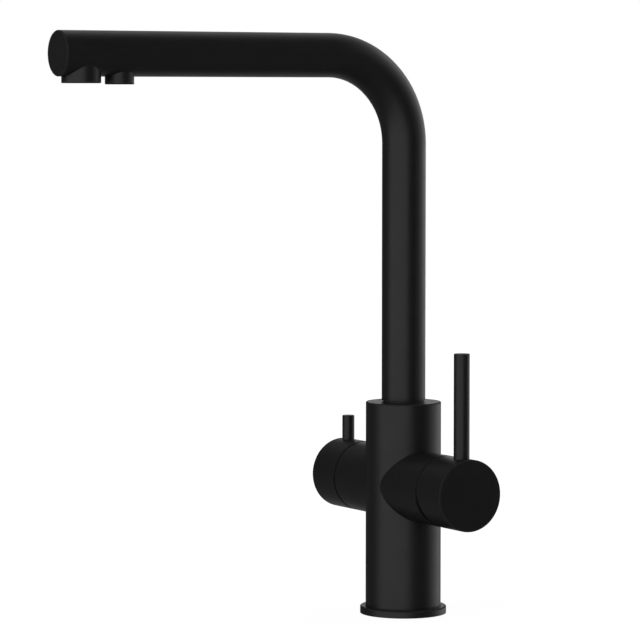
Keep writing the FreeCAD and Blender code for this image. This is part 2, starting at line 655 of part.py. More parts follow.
def spout_spigot():
    """Swivel spigot: sealed shank in the body, head in the tube, hub for the riser."""
    groove_r = SPIGOT_R - SEAL_DEPTH
    grooves = [(LOWER_SEAL_Z, SEAL_GROOVE_WIDTH), (LOCK_GROOVE_Z, LOCK_GROOVE_WIDTH),
               (UPPER_SEAL_Z, SEAL_GROOVE_WIDTH)]
    profile = [(SPIGOT_BORE_R, SPIGOT_BOTTOM_Z), (SPIGOT_R, SPIGOT_BOTTOM_Z)]
    for middle, width in grooves:
        low = middle - width / 2
        high = middle + width / 2
        profile += [(SPIGOT_R, low), (groove_r, low), (groove_r, high), (SPIGOT_R, high)]
    head_r = TUBE_BORE_R - RUNNING_FIT
    step_z = TUBE_BOTTOM_Z + SPIGOT_STEP
    profile += [(SPIGOT_R, TUBE_BOTTOM_Z), (head_r, TUBE_BOTTOM_Z), (head_r, SPIGOT_TOP_Z),
                (SPIGOT_HEAD_BORE_R, SPIGOT_TOP_Z), (SPIGOT_HEAD_BORE_R, step_z),
                (SPIGOT_BORE_R, step_z)]
    spigot = turned(profile)
    spoke = block(0, SPIGOT_HEAD_BORE_R + OVERCUT, -SPOKE_WIDTH / 2, SPOKE_WIDTH / 2,
                  HUB_BOTTOM_Z, HUB_TOP_Z)
    spider = bar(HUB_R, HUB_BOTTOM_Z, HUB_TOP_Z).fuse(around(spoke, SPOKES))
    spigot = spigot.fuse(spider).cut(bore(RISER_R + SEAT_GAP, HUB_BOTTOM_Z, HUB_TOP_Z))
    return spigot.removeSplitter()


def spigot_seals():
    """Two O-rings in the spigot's grooves."""
    middle_r = SPIGOT_R - SEAL_WIRE_R + RUNNING_FIT / 2
    return Part.Compound([seal_ring(middle_r, SEAL_WIRE_R, z) for z in (LOWER_SEAL_Z, UPPER_SEAL_Z)])


def filter_riser():
    """Inner pipe that carries filtered water from the body's pocket to the inner hose."""
    groove_r = RISER_R - 2 * RISER_SEAL_WIRE_R
    groove_low = RISER_SEAL_Z - 1.5 * RISER_SEAL_WIRE_R
    groove_high = RISER_SEAL_Z + 1.5 * RISER_SEAL_WIRE_R
    nipple_top = RISER_TOP_Z + NIPPLE_LENGTH
    profile = [(RISER_BORE_R, RISER_BOTTOM_Z), (RISER_R, RISER_BOTTOM_Z), (RISER_R, groove_low),
               (groove_r, groove_low), (groove_r, groove_high), (RISER_R, groove_high),
               (RISER_R, HUB_TOP_Z), (RISER_SHOULDER_R, HUB_TOP_Z), (RISER_SHOULDER_R, RISER_TOP_Z),
               (NIPPLE_R, RISER_TOP_Z), (NIPPLE_R, nipple_top), (NIPPLE_BORE_R, nipple_top),
               (NIPPLE_BORE_R, HUB_TOP_Z), (RISER_BORE_R, HUB_BOTTOM_Z)]
    return turned(profile)


def riser_seal():
    """O-ring near the riser's foot."""
    return seal_ring(RISER_R - RISER_SEAL_WIRE_R + RUNNING_FIT / 2, RISER_SEAL_WIRE_R, RISER_SEAL_Z)


def filtered_water_hose():
    """Hose inside the spout from the riser's nipple to the nozzle's nipple."""
    foot = RISER_TOP_Z + SEAT_GAP
    reach = HOSE_END_REACH - SEAT_GAP
    return bent_bar(HOSE_R, foot, reach).cut(bent_bar(HOSE_BORE_R, foot, reach))


def hose_ferrules():
    """Crimped sleeve on each end of the hose."""
    inner = HOSE_R + SEAT_GAP
    low = RISER_TOP_Z + FERRULE_INSET
    lower = ring(inner + FERRULE_WALL, inner, low, low + FERRULE_LENGTH)
    far = HOSE_END_REACH - FERRULE_INSET
    near = far - FERRULE_LENGTH
    upper = along_spout(inner + FERRULE_WALL, near, far)
    upper = upper.cut(along_spout(inner, near - OVERCUT, far + OVERCUT))
    return Part.Compound([lower, upper])


# ---- Outlets -----------------------------------------------------------------------
def saddle_collar(collar_r, bore_r, neck_r, neck_bore_r, bottom, ledge_z, top):
    """Round collar fitted to the tube from below, with a neck through the tube's wall."""
    collar = turned([(0, bottom), (collar_r - RIM_BEVEL, bottom), (collar_r, bottom + RIM_BEVEL),
                     (collar_r, SPOUT_AXIS_Z), (0, SPOUT_AXIS_Z)])
    collar = collar.cut(along_spout(TUBE_R, -2 * collar_r, 2 * collar_r))
    collar = collar.fuse(bar(neck_r, bottom + RIM_BEVEL, top))
    collar = collar.cut(bar(bore_r, bottom - OVERCUT, ledge_z))
    return collar.cut(bore(neck_bore_r, ledge_z, top)).removeSplitter()


def main_outlet_collar():
    """Collar of the mixed water outlet."""
    collar = saddle_collar(MAIN_COLLAR_R, MAIN_AERATOR_R + RUNNING_FIT, MAIN_NECK_R, MAIN_LEDGE_R,
                           MAIN_COLLAR_BOTTOM, MAIN_LEDGE_Z, MAIN_LEDGE_Z + LEDGE_THICKNESS)
    return at_outlet(MAIN_OUTLET_REACH, collar)


def filter_outlet_collar():
    """Collar of the filtered water outlet, bored for the nozzle and its seal."""
    collar = saddle_collar(FILTER_COLLAR_R, FILTER_AERATOR_R + RUNNING_FIT, FILTER_NECK_R,
                           NOZZLE_SPIGOT_R + RUNNING_FIT, FILTER_COLLAR_BOTTOM, FILTER_LEDGE_Z,
                           FILTER_NECK_TOP)
    seal_groove = bar(NOZZLE_SPIGOT_R + RUNNING_FIT + NOZZLE_SEAL_WIDTH,
                      FILTER_NECK_TOP - NOZZLE_SEAL_HEIGHT, FILTER_NECK_TOP + OVERCUT)
    return at_outlet(FILTER_OUTLET_REACH, collar.cut(seal_groove))


def aerator_housing(outer_r, bottom, top):
    """Threaded insert of an outlet, with an inward lip under its grid."""
    inner_r = outer_r - AERATOR_WALL
    lip_r = inner_r - AERATOR_LIP
    return turned([(lip_r, bottom), (outer_r, bottom), (outer_r, top), (inner_r, top),
                   (inner_r, bottom + AERATOR_LIP), (lip_r, bottom + AERATOR_LIP)])


def honeycomb_grid(outer_r, bottom):
    """Round plate with hexagonal holes set in rows around a middle hole."""
    plate = bar(outer_r, bottom, bottom + GRID_THICKNESS)
    hole = hexagon(GRID_PITCH - GRID_WEB, bottom - OVERCUT, bottom + GRID_THICKNESS + OVERCUT)
    hole.rotate(CENTRE, UP, 30)
    rows = int(outer_r / GRID_PITCH) + 1
    holes = []
    for row in range(-rows, rows + 1):
        for column in range(-rows, rows + 1):
            x = GRID_PITCH * (column + row / 2)
            y = GRID_PITCH * row * math.sqrt(3) / 2
            if math.hypot(x, y) + GRID_PITCH / 2 < outer_r:
                copy = hole.copy()
                copy.translate(FreeCAD.Vector(x, y, 0))
                holes.append(copy)
    return plate.cut(Part.Compound(holes))


def main_aerator_housing():
    """Insert of the mixed water outlet."""
    bottom = MAIN_COLLAR_BOTTOM + AERATOR_RECESS
    return at_outlet(MAIN_OUTLET_REACH, aerator_housing(MAIN_AERATOR_R, bottom, MAIN_AERATOR_TOP))


def main_aerator_grid():
    """Honeycomb that straightens the mixed water's jet."""
    bottom = MAIN_COLLAR_BOTTOM + AERATOR_RECESS + AERATOR_LIP
    return at_outlet(MAIN_OUTLET_REACH, honeycomb_grid(MAIN_AERATOR_R - AERATOR_WALL - SEAT_GAP, bottom))


def main_aerator_core():
    """Jet plate at the top of the mixed water's insert."""
    low = MAIN_AERATOR_TOP - CORE_THICKNESS
    plate = bar(MAIN_AERATOR_R - AERATOR_WALL - SEAT_GAP, low, MAIN_AERATOR_TOP)
    jet = bore(JET_HOLE_R, low, MAIN_AERATOR_TOP, JET_CIRCLE_R)
    peg = bar(2 * JET_HOLE_R, low - CORE_PEG_LENGTH, low)
    core = plate.cut(Part.Compound(around(jet, JET_HOLES))).fuse(peg)
    return at_outlet(MAIN_OUTLET_REACH, core)


def main_aerator_seal():
    """Flat washer above the mixed water's insert."""
    washer = ring(MAIN_AERATOR_R, MAIN_LEDGE_R, MAIN_AERATOR_TOP, MAIN_LEDGE_Z)
    return at_outlet(MAIN_OUTLET_REACH, washer)


def filter_aerator_housing():
    """Insert of the filtered water outlet."""
    bottom = FILTER_COLLAR_BOTTOM + AERATOR_RECESS
    insert = aerator_housing(FILTER_AERATOR_R, bottom, FILTER_AERATOR_TOP)
    return at_outlet(FILTER_OUTLET_REACH, insert)


def filter_aerator_grid():
    """Honeycomb that straightens the filtered water's jet."""
    bottom = FILTER_COLLAR_BOTTOM + AERATOR_RECESS + AERATOR_LIP
    grid = honeycomb_grid(FILTER_AERATOR_R - AERATOR_WALL - SEAT_GAP, bottom)
    return at_outlet(FILTER_OUTLET_REACH, grid)


def filter_aerator_seal():
    """Flat washer above the filtered water's insert."""
    washer = ring(FILTER_AERATOR_R, FILTER_WASHER_BORE_R, FILTER_AERATOR_TOP, FILTER_LEDGE_Z)
    return at_outlet(FILTER_OUTLET_REACH, washer)


def filter_nozzle():
    """Brass elbow inside the tube: nipple for the hose, spigot down into the collar."""
    spigot_end = FILTER_LEDGE_Z + SEAT_GAP
    crown = SPOUT_AXIS_Z + HOSE_R + FERRULE_WALL
    elbow = beveled_bar(NOZZLE_R, FILTER_NECK_TOP, crown, NOZZLE_CROWN_BEVEL)
    elbow = elbow.fuse(bar(NOZZLE_SPIGOT_R, spigot_end, FILTER_NECK_TOP + OVERCUT))
    elbow = at_outlet(FILTER_OUTLET_REACH, elbow)
    shoulder = along_spout(HOSE_R, HOSE_END_REACH, FILTER_OUTLET_REACH)
    nipple_end = HOSE_END_REACH - NIPPLE_LENGTH
    nipple = along_spout(NIPPLE_R, nipple_end, HOSE_END_REACH + OVERCUT)
    way_down = at_outlet(FILTER_OUTLET_REACH, bar(NOZZLE_BORE_R, spigot_end - OVERCUT, SPOUT_AXIS_Z))
    way_in = along_spout(NIPPLE_BORE_R, nipple_end - OVERCUT, FILTER_OUTLET_REACH)
    elbow = elbow.fuse([shoulder, nipple]).cut(way_down.fuse(way_in))
    return elbow.removeSplitter()


def nozzle_seal():
    """Square ring between the nozzle's shoulder and the collar's neck."""
    inner = NOZZLE_SPIGOT_R + RUNNING_FIT
    seal = ring(inner + NOZZLE_SEAL_WIDTH - SEAT_GAP, inner, FILTER_NECK_TOP - NOZZLE_SEAL_HEIGHT,
                FILTER_NECK_TOP)
    return at_outlet(FILTER_OUTLET_REACH, seal)


# ---- Mixing cartridge, in the mixer's side frame -------------------------------------
def port_places():
    """Centre and drilling radius of the hot, cold and mixed ports."""
    return [(-PORT_SIDE, PORT_RISE, WATERWAY_R), (PORT_SIDE, PORT_RISE, WATERWAY_R),
            (0, -OUTLET_FALL, OUTLET_WAY_R)]


def cartridge_base():
    """Bottom plate with three ports, two locating pins and four clip lugs."""
    plate = bar(CARTRIDGE_R - LOOSE_FIT, BASE_START, FIXED_DISC_START)
    rim_outer = HOUSING_BORE_R - RUNNING_FIT
    rim_inner = FIXED_DISC_R + RUNNING_FIT
    rim = ring(rim_outer, rim_inner, FIXED_DISC_START, FIXED_DISC_START + BASE_RIM_HEIGHT)
    lug_end = MOVING_DISC_START - LOOSE_FIT
    lug_zone = ring(rim_outer, rim_inner, FIXED_DISC_START, lug_end)
    nose_zone = ring(CARTRIDGE_R - CLIP_NOSE_DEPTH, rim_inner, FIXED_DISC_START + CLIP_NOSE_RISE, lug_end)
    half = CLIP_WINDOW_HALF - LOOSE_FIT
    lug = lug_zone.fuse(nose_zone).common(block(0, CARTRIDGE_R, -half, half, BASE_START, lug_end))
    base = plate.fuse([rim] + around(lug, CLIP_COUNT))
    for sign in (-1, 1):
        pin = bar(LOCATING_PIN_R, BASE_START - LOCATING_PIN_LENGTH, BASE_START + OVERCUT,
                  sign * LOCATING_PIN_SIDE, -LOCATING_PIN_FALL)
        base = base.fuse(pin)
    for x, y, radius in port_places():
        base = base.cut(bore(radius, BASE_START, FIXED_DISC_START, x, y))
        pocket_r = radius + PORT_SEAL_WALL + RUNNING_FIT
        base = base.cut(bar(pocket_r, BASE_START - OVERCUT, BASE_START + PORT_SEAL_DEPTH, x, y))
    return on_side(MIXER_SIDE, base.removeSplitter())


def cartridge_port_seals():
    """Rubber ring round each port, from the seat to the bottom of its pocket."""
    rings = []
    for x, y, radius in port_places():
        rings.append(ring(radius + PORT_SEAL_WALL, radius, SEAT_X, BASE_START + PORT_SEAL_DEPTH, x, y))
    return on_side(MIXER_SIDE, Part.Compound(rings))


def cartridge_housing():
    """Plastic can around the discs and rotor, with windows for the base's clips."""
    can = turned([(HOUSING_BORE_R, FIXED_DISC_START), (CARTRIDGE_R, FIXED_DISC_START),
                  (CARTRIDGE_R, HOUSING_END), (ROTOR_NECK_R + LOOSE_FIT, HOUSING_END),
                  (ROTOR_NECK_R + LOOSE_FIT, HOUSING_ROOF_START), (HOUSING_BORE_R, HOUSING_ROOF_START)])
    window_low = FIXED_DISC_START + CLIP_WINDOW_RISE
    window = block(HOUSING_BORE_R - OVERCUT, CARTRIDGE_R + OVERCUT, -CLIP_WINDOW_HALF, CLIP_WINDOW_HALF,
                   window_low, window_low + CLIP_WINDOW_HEIGHT)
    return on_side(MIXER_SIDE, can.cut(Part.Compound(around(window, CLIP_COUNT))))


def mixer_fixed_disc():
    """Ceramic disc with two inlet slots and one outlet slot."""
    disc = bar(FIXED_DISC_R, FIXED_DISC_START, MOVING_DISC_START - SEAT_GAP)
    low = FIXED_DISC_START - OVERCUT
    high = MOVING_DISC_START + OVERCUT
    slots = [rounded_slot(INLET_SLOT_R, INLET_SLOT_HALF, low, high, -PORT_SIDE, PORT_RISE),
             rounded_slot(INLET_SLOT_R, INLET_SLOT_HALF, low, high, PORT_SIDE, PORT_RISE),
             rounded_slot(OUTLET_SLOT_R, OUTLET_SLOT_HALF, low, high, 0, -OUTLET_FALL)]
    for slot in slots:
        disc = disc.cut(slot)
    return on_side(MIXER_SIDE, disc)


def mixer_moving_disc():
    """Ceramic disc with the mixing recess below and two peg holes above."""
    disc = bar(MOVING_DISC_R, MOVING_DISC_START, CARRIER_START)
    recess_floor = MOVING_DISC_START + RECESS_DEPTH
    recess = bar(RECESS_R, MOVING_DISC_START - OVERCUT, recess_floor)
    below_top = block(-RECESS_R, RECESS_R, -RECESS_R, RECESS_TOP, MOVING_DISC_START - OVERCUT, recess_floor)
    disc = disc.cut(recess.common(below_top))
    peg_floor = CARRIER_START - PEG_LENGTH - RUNNING_FIT
    for sign in (-1, 1):
        disc = disc.cut(bar(PEG_R + RUNNING_FIT, peg_floor, CARRIER_START + OVERCUT,
                            sign * PEG_SIDE, PEG_SIDE))
    return on_side(MIXER_SIDE, disc)


def disc_carrier():
    """Plastic slide that holds the moving disc by two pegs and takes the stem's ball."""
    slide = block(-CARRIER_HALF_WIDTH, CARRIER_HALF_WIDTH, -CARRIER_DOWN, CARRIER_UP,
                  CARRIER_START, CARRIER_END)
    for sign in (-1, 1):
        peg = bar(PEG_R, CARRIER_START - PEG_LENGTH, CARRIER_START + OVERCUT, sign * PEG_SIDE, PEG_SIDE)
        slide = slide.fuse(peg)
    ball_pocket = bar(BALL_R + SLOT_FIT, BALL_AT - BALL_R - CLEARANCE, CARRIER_END + OVERCUT)
    return on_side(MIXER_SIDE, slide.cut(ball_pocket).removeSplitter())


def cross_bar(radius, half_length):
    """Round bar across the cartridge, on the axis that the stem tilts about."""
    start = FreeCAD.Vector(-half_length, 0, PIVOT_AT)
    return Part.makeCylinder(radius, 2 * half_length, start, FreeCAD.Vector(1, 0, 0))


def mixer_rotor():
    """Plastic turret that turns in the housing, guides the carrier and holds the pin."""
    turret = bar(ROTOR_R, ROTOR_START, ROTOR_SHOULDER)
    turret = turret.fuse(bar(ROTOR_NECK_R, ROTOR_SHOULDER, ROTOR_END))
    guide = CARRIER_HALF_WIDTH + SLOT_FIT
    pocket = block(-guide, guide, -CARRIER_DOWN - CARRIER_END_PLAY,
                   CARRIER_UP + DISC_TRAVEL + CARRIER_END_PLAY, ROTOR_START - OVERCUT, ROTOR_POCKET_END)
    slot_half = STEM_HALF + SLOT_FIT
    slot = block(-slot_half, slot_half, -STEM_SLOT_DOWN, STEM_SLOT_UP, ROTOR_START, ROTOR_END + OVERCUT)
    turret = turret.cut(pocket).cut(slot).cut(cross_bar(PIN_R + SEAT_GAP, 2 * ROTOR_NECK_R))
    return on_side(MIXER_SIDE, turret.removeSplitter())


def stem_pin():
    """Steel pin through the rotor's neck, on which the stem tilts."""
    return on_side(MIXER_SIDE, cross_bar(PIN_R, PIN_HALF_LENGTH))


def mixer_stem():
    """Square stem with an eye for the pin and a ball at its inner end."""
    shank = block(-STEM_HALF, STEM_HALF, -STEM_HALF, STEM_HALF, PIVOT_AT, STEM_END)
    eye = cross_bar(STEM_HALF, STEM_HALF)
    neck = bar(STEM_NECK_R, BALL_AT, PIVOT_AT)
    ball = Part.makeSphere(BALL_R, FreeCAD.Vector(0, 0, BALL_AT))
    stem = shank.fuse([eye, neck, ball]).cut(cross_bar(PIN_R + RUNNING_FIT, 2 * STEM_HALF))
    return on_side(MIXER_SIDE, stem.removeSplitter())


def cartridge_nut():
    """Ring nut that presses the cartridge on its seat, notched for a pin key."""
    nut = ring(NUT_R, NUT_BORE_R, HOUSING_END, NUT_END)
    notch_outer = (NUT_R + NUT_BORE_R) / 2
    notch = block(0, notch_outer, -NUT_NOTCH_HALF, NUT_NOTCH_HALF,
                  NUT_END - NUT_NOTCH_DEPTH, NUT_END + OVERCUT)
    return on_side(MIXER_SIDE, nut.cut(Part.Compound(around(notch, NUT_NOTCHES))))


def cartridge_cover():
    """Spherical cover over the nut, centred on the stem's pivot so the cap clears it."""
    centre = FreeCAD.Vector(0, 0, PIVOT_AT)
    flange_start = MIXER_BOSS_END - COVER_FLANGE
    shell = Part.makeSphere(COVER_R, centre).common(bar(COVER_R, flange_start, PIVOT_AT + COVER_R))
    flange = bar(NUT_R, flange_start, MIXER_BOSS_END)
    cover = shell.fuse(flange).cut(Part.makeSphere(COVER_R - COVER_WALL, centre))
    cover = cover.cut(bar(COVER_HOLE_R, PIVOT_AT, PIVOT_AT + COVER_R))
    return on_side(MIXER_SIDE, cover.removeSplitter())


# ---- Handles ---------------------------------------------------------------------------
def cap_shell(start, floor, face):
    """Round handle cap, open towards the body, with a solid block behind its face."""
    return beveled_bar(HANDLE_R, start, face).cut(bar(CAP_BORE_R, start - OVERCUT, floor))


def upright_bar(radius, low, high, along):
    """Round bar along local Y, at a place along the handle's axis."""
    return Part.makeCylinder(radius, high - low, FreeCAD.Vector(0, low, along), FreeCAD.Vector(0, 1, 0))


def rod_seat(rod_r, thread_r, along):
    """Counterbore and thread in a cap's upper side for its lever rod."""
    counterbore = upright_bar(rod_r + RUNNING_FIT, ROD_SEAT_Y, HANDLE_R + OVERCUT, along)
    thread = upright_bar(thread_r + SEAT_GAP, ROD_THREAD_END_Y - OVERCUT, ROD_SEAT_Y + OVERCUT, along)
    return counterbore.fuse(thread)


def grub_hole(radius, along):
    """Threaded hole from below, up to the middle of a cap."""
    return upright_bar(radius + SEAT_GAP, -HANDLE_R - OVERCUT, 0, along)


def tilt_wedge():
    """Wedge that slants the lower half of the mixer cap's rear edge."""
    drop = MIXER_CAP_CHAMFER_TOP + HANDLE_R + OVERCUT
    slant = drop * math.tan(math.radians(MIXER_CAP_CHAMFER_DEG))
    low_y = MIXER_CAP_CHAMFER_TOP - drop
    corners = [(MIXER_CAP_CHAMFER_TOP, MIXER_CAP_START), (low_y, MIXER_CAP_START + slant),
               (low_y, MIXER_CAP_START - OVERCUT), (MIXER_CAP_CHAMFER_TOP, MIXER_CAP_START - OVERCUT)]
    half = HANDLE_R + OVERCUT
    points = [FreeCAD.Vector(-half, y, z) for y, z in corners]
    return Part.Face(Part.makePolygon(points + points[:1])).extrude(FreeCAD.Vector(2 * half, 0, 0))


def mixer_handle():
    """Mixer cap with a square socket; the lower half of its rear edge slants so that it can tilt."""
    cap = cap_shell(MIXER_CAP_START, MIXER_CAP_FLOOR, MIXER_FACE)
    half = STEM_HALF + RUNNING_FIT
    socket = block(-half, half, -half, half, MIXER_CAP_FLOOR - OVERCUT, MIXER_CAP_FLOOR + SOCKET_DEPTH)
    hollows = [tilt_wedge(), socket, rod_seat(MIXER_ROD_R, ROD_THREAD_R, MIXER_ROD_AT),
               grub_hole(GRUB_R, MIXER_ROD_AT)]
    for hollow in hollows:
        cap = cap.cut(hollow)
    return on_side(MIXER_SIDE, cap)


def lever_rod(radius, thread_r, top, along):
    """Straight rod that stands in a cap on its shoulder, with a threaded end below."""
    rod = beveled_bar(radius, ROD_SEAT_Y, top - HANDLE_Z)
    rod = rod.fuse(bar(thread_r, ROD_THREAD_END_Y, ROD_SEAT_Y))
    rod.rotate(CENTRE, FreeCAD.Vector(1, 0, 0), -90)
    rod.translate(FreeCAD.Vector(0, 0, along))
    return rod


def mixer_lever_rod():
    """Long lever of the mixer."""
    return on_side(MIXER_SIDE, lever_rod(MIXER_ROD_R, ROD_THREAD_R, MIXER_ROD_TOP, MIXER_ROD_AT))


def grub_screw(radius, head_y, along):
    """Headless screw that rises along local Y up to head_y, with a hexagon socket below."""
    screw = bar(radius, 0, GRUB_LENGTH).cut(hexagon(SOCKET_HEX_FLATS, -OVERCUT, SOCKET_HEX_DEPTH))
    screw.rotate(CENTRE, FreeCAD.Vector(1, 0, 0), -90)
    screw.translate(FreeCAD.Vector(0, head_y - GRUB_LENGTH, along))
    return screw


def mixer_grub_screw():
    """Screw from below that holds the mixer's cap on the stem."""
    return on_side(MIXER_SIDE, grub_screw(GRUB_R, -STEM_HALF - SEAT_GAP, MIXER_ROD_AT))


# ---- Filter valve, in the filter's side frame ----------------------------------------------
def filter_valve_body():
    """Brass body: nose with windows, thread, hexagon and neck round the spindle."""
    hex_low = FILTER_BOSS_END + SEAT_GAP
    thread_low = VALVE_CHAMBER_END + SEAT_GAP
    body = turned([(VALVE_NOSE_BORE_R, VALVE_NOSE_AT), (VALVE_NOSE_R, VALVE_NOSE_AT),
                   (VALVE_NOSE_R, thread_low), (VALVE_THREAD_R, thread_low),
                   (VALVE_THREAD_R, hex_low), (VALVE_NECK_R, hex_low), (VALVE_NECK_R, VALVE_NECK_END),
                   (SPINDLE_BORE_R, VALVE_NECK_END), (SPINDLE_BORE_R, VALVE_CHAMBER_END),
                   (VALVE_NOSE_BORE_R, VALVE_CHAMBER_END)])
    collar = hexagon(VALVE_HEX_FLATS, hex_low, VALVE_HEX_END)
    body = body.fuse(collar.cut(bore(SPINDLE_BORE_R, hex_low, VALVE_HEX_END)))
    window = block(-VALVE_THREAD_R, VALVE_THREAD_R, -WINDOW_HALF, WINDOW_HALF,
                   VALVE_MOVING_END, VALVE_MOVING_END + WINDOW_HEIGHT)
    return on_side(FILTER_SIDE, body.cut(window).removeSplitter())


def filter_seat_seal():
    """Rubber ring between the body's seat and the fixed disc."""
    outer = VALVE_NOSE_BORE_R - VALVE_SEAL_SIDE_PLAY
    return on_side(FILTER_SIDE, ring(outer, VALVE_SEAL_BORE_R, SEAT_X, VALVE_DISC_START))


def valve_disc(radius, low, high, first_deg):
    """Ceramic disc with two opposite ports around a solid middle."""
    disc = bar(radius, low, high)
    hub = bore(VALVE_HUB_R, low, high)
    for middle in (first_deg, first_deg + 180):
        port = sector(VALVE_PORT_R, low - OVERCUT, high + OVERCUT, middle, VALVE_PORT_DEG)
        disc = disc.cut(port.cut(hub))
    return disc


def filter_fixed_disc():
    """Fixed ceramic disc of the filter valve, ports above and below."""
    disc = valve_disc(VALVE_DISC_R, VALVE_DISC_START, VALVE_MOVING_START - SEAT_GAP, 90)
    return on_side(FILTER_SIDE, disc)


def filter_moving_disc():
    """Turning ceramic disc, shown closed, with a groove for the spindle's tongue."""
    disc = valve_disc(VALVE_DISC_R - RUNNING_FIT, VALVE_MOVING_START, VALVE_MOVING_END, 0)
    groove_half = TONGUE_HALF + RUNNING_FIT
    groove = block(-groove_half, groove_half, -VALVE_DISC_R, VALVE_DISC_R,
                   VALVE_MOVING_END - TONGUE_DEPTH - RUNNING_FIT, VALVE_MOVING_END + OVERCUT)
    return on_side(FILTER_SIDE, disc.cut(groove))


def filter_spindle():
    """Spindle with a driving tongue, two seal grooves, a clip groove and a spline."""
    low = VALVE_MOVING_END + TONGUE_DEPTH
    profile = [(0, low), (SPINDLE_R, low)]
    for middle in spindle_seal_places():
        groove_low = middle - SPINDLE_SEAL_WIDTH / 2
        groove_high = middle + SPINDLE_SEAL_WIDTH / 2
        profile += [(SPINDLE_R, groove_low), (SPINDLE_SEAL_GROOVE_R, groove_low),
                    (SPINDLE_SEAL_GROOVE_R, groove_high), (SPINDLE_R, groove_high)]
    clip_low = CLIP_AT - RUNNING_FIT
    profile += [(SPINDLE_R, clip_low), (CLIP_GROOVE_R, clip_low), (CLIP_GROOVE_R, SPLINE_START),
                (0, SPLINE_START)]
    tongue = block(-TONGUE_HALF, TONGUE_HALF, -TONGUE_REACH, TONGUE_REACH,
                   VALVE_MOVING_END - TONGUE_DEPTH, VALVE_CHAMBER_END - CLEARANCE)
    tooth_radii = [SPLINE_ROOT_R, SPLINE_R, SPLINE_R, SPLINE_ROOT_R]
    points = []
    for corner in range(SPLINE_TEETH * len(tooth_radii)):
        angle = 2 * math.pi * corner / (SPLINE_TEETH * len(tooth_radii))
        radius = tooth_radii[corner % len(tooth_radii)]
        points.append(FreeCAD.Vector(radius * math.cos(angle), radius * math.sin(angle), SPLINE_START))
    spline = Part.Face(Part.makePolygon(points + points[:1])).extrude(FreeCAD.Vector(0, 0, SPLINE_LENGTH))
    return on_side(FILTER_SIDE, turned(profile).fuse([tongue, spline]))


def spindle_seal_places():
    """Places of the spindle's two O-rings."""
    middle = (VALVE_CHAMBER_END + FILTER_BOSS_END) / 2
    return [middle - SPINDLE_SEAL_PITCH / 2, middle + SPINDLE_SEAL_PITCH / 2]


def spindle_seals():
    """Two O-rings on the spindle, each in the middle of the space between groove and bore."""
    middle_r = (SPINDLE_BORE_R + SPINDLE_SEAL_GROOVE_R) / 2
    rings = [seal_ring(middle_r, SPINDLE_SEAL_WIRE_R, z) for z in spindle_seal_places()]
    return on_side(FILTER_SIDE, Part.Compound(rings))


def spindle_clip():
    """Open spring clip that keeps the spindle in its body."""
    clip = ring(CLIP_R, CLIP_GROOVE_R + SEAT_GAP, CLIP_AT, CLIP_AT + CLIP_THICKNESS)
    opening = sector(CLIP_R + OVERCUT, CLIP_AT - OVERCUT, CLIP_AT + CLIP_THICKNESS + OVERCUT,
                     0, CLIP_OPENING_DEG)
    return on_side(FILTER_SIDE, clip.cut(opening))


def filter_handle():
    """Filter cap with a straight rear edge."""
    cap = cap_shell(FILTER_CAP_START, FILTER_CAP_FLOOR, FILTER_FACE)
    socket = bar(SPLINE_R + RUNNING_FIT, FILTER_CAP_FLOOR - OVERCUT, SPLINE_END + SPLINE_END_PLAY)
    hollows = [socket, rod_seat(FILTER_ROD_R, FILTER_ROD_THREAD_R, FILTER_ROD_AT),
               grub_hole(FILTER_GRUB_R, FILTER_FACE - FILTER_GRUB_SETBACK)]
    for hollow in hollows:
        cap = cap.cut(hollow)
    return on_side(FILTER_SIDE, cap)


def filter_lever_rod():
    """Short lever of the filter valve."""
    rod = lever_rod(FILTER_ROD_R, FILTER_ROD_THREAD_R, FILTER_ROD_TOP, FILTER_ROD_AT)
    return on_side(FILTER_SIDE, rod)


def filter_grub_screw():
    """Screw from below that holds the filter's cap on the spline."""
    screw = grub_screw(FILTER_GRUB_R, -SPLINE_R - SEAT_GAP, FILTER_FACE - FILTER_GRUB_SETBACK)
    return on_side(FILTER_SIDE, screw)


PIECES = [
    main_body, foot_block, foot_screws, inlet_seals, base_flange, base_gasket, glide_ring, spout_lock_screw,
    spout_tube, spout_end_cap, spout_spigot, spigot_seals, filter_riser, riser_seal,
    filtered_water_hose, hose_ferrules, main_outlet_collar, filter_outlet_collar,
    main_aerator_housing, main_aerator_grid, main_aerator_core, main_aerator_seal,
    filter_aerator_housing, filter_aerator_grid, filter_aerator_seal, filter_nozzle, nozzle_seal,
    cartridge_base, cartridge_port_seals, cartridge_housing, mixer_fixed_disc, mixer_moving_disc,
    disc_carrier, mixer_rotor, stem_pin, mixer_stem, cartridge_nut, cartridge_cover,
    mixer_handle, mixer_lever_rod, mixer_grub_screw,
    filter_valve_body, filter_seat_seal, filter_fixed_disc, filter_moving_disc, filter_spindle,
    spindle_seals, spindle_clip, filter_handle, filter_lever_rod, filter_grub_screw,
]

os.makedirs("parts", exist_ok=True)
for piece in PIECES:
    shape = piece()
    shape.exportStep("parts/" + piece.__name__ + ".step")
    print(piece.__name__, len(shape.Solids), round(shape.Volume, 1), shape.isValid())
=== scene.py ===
import json
import math

import bmesh
import bpy
import numpy as np
from mathutils import Matrix, Vector


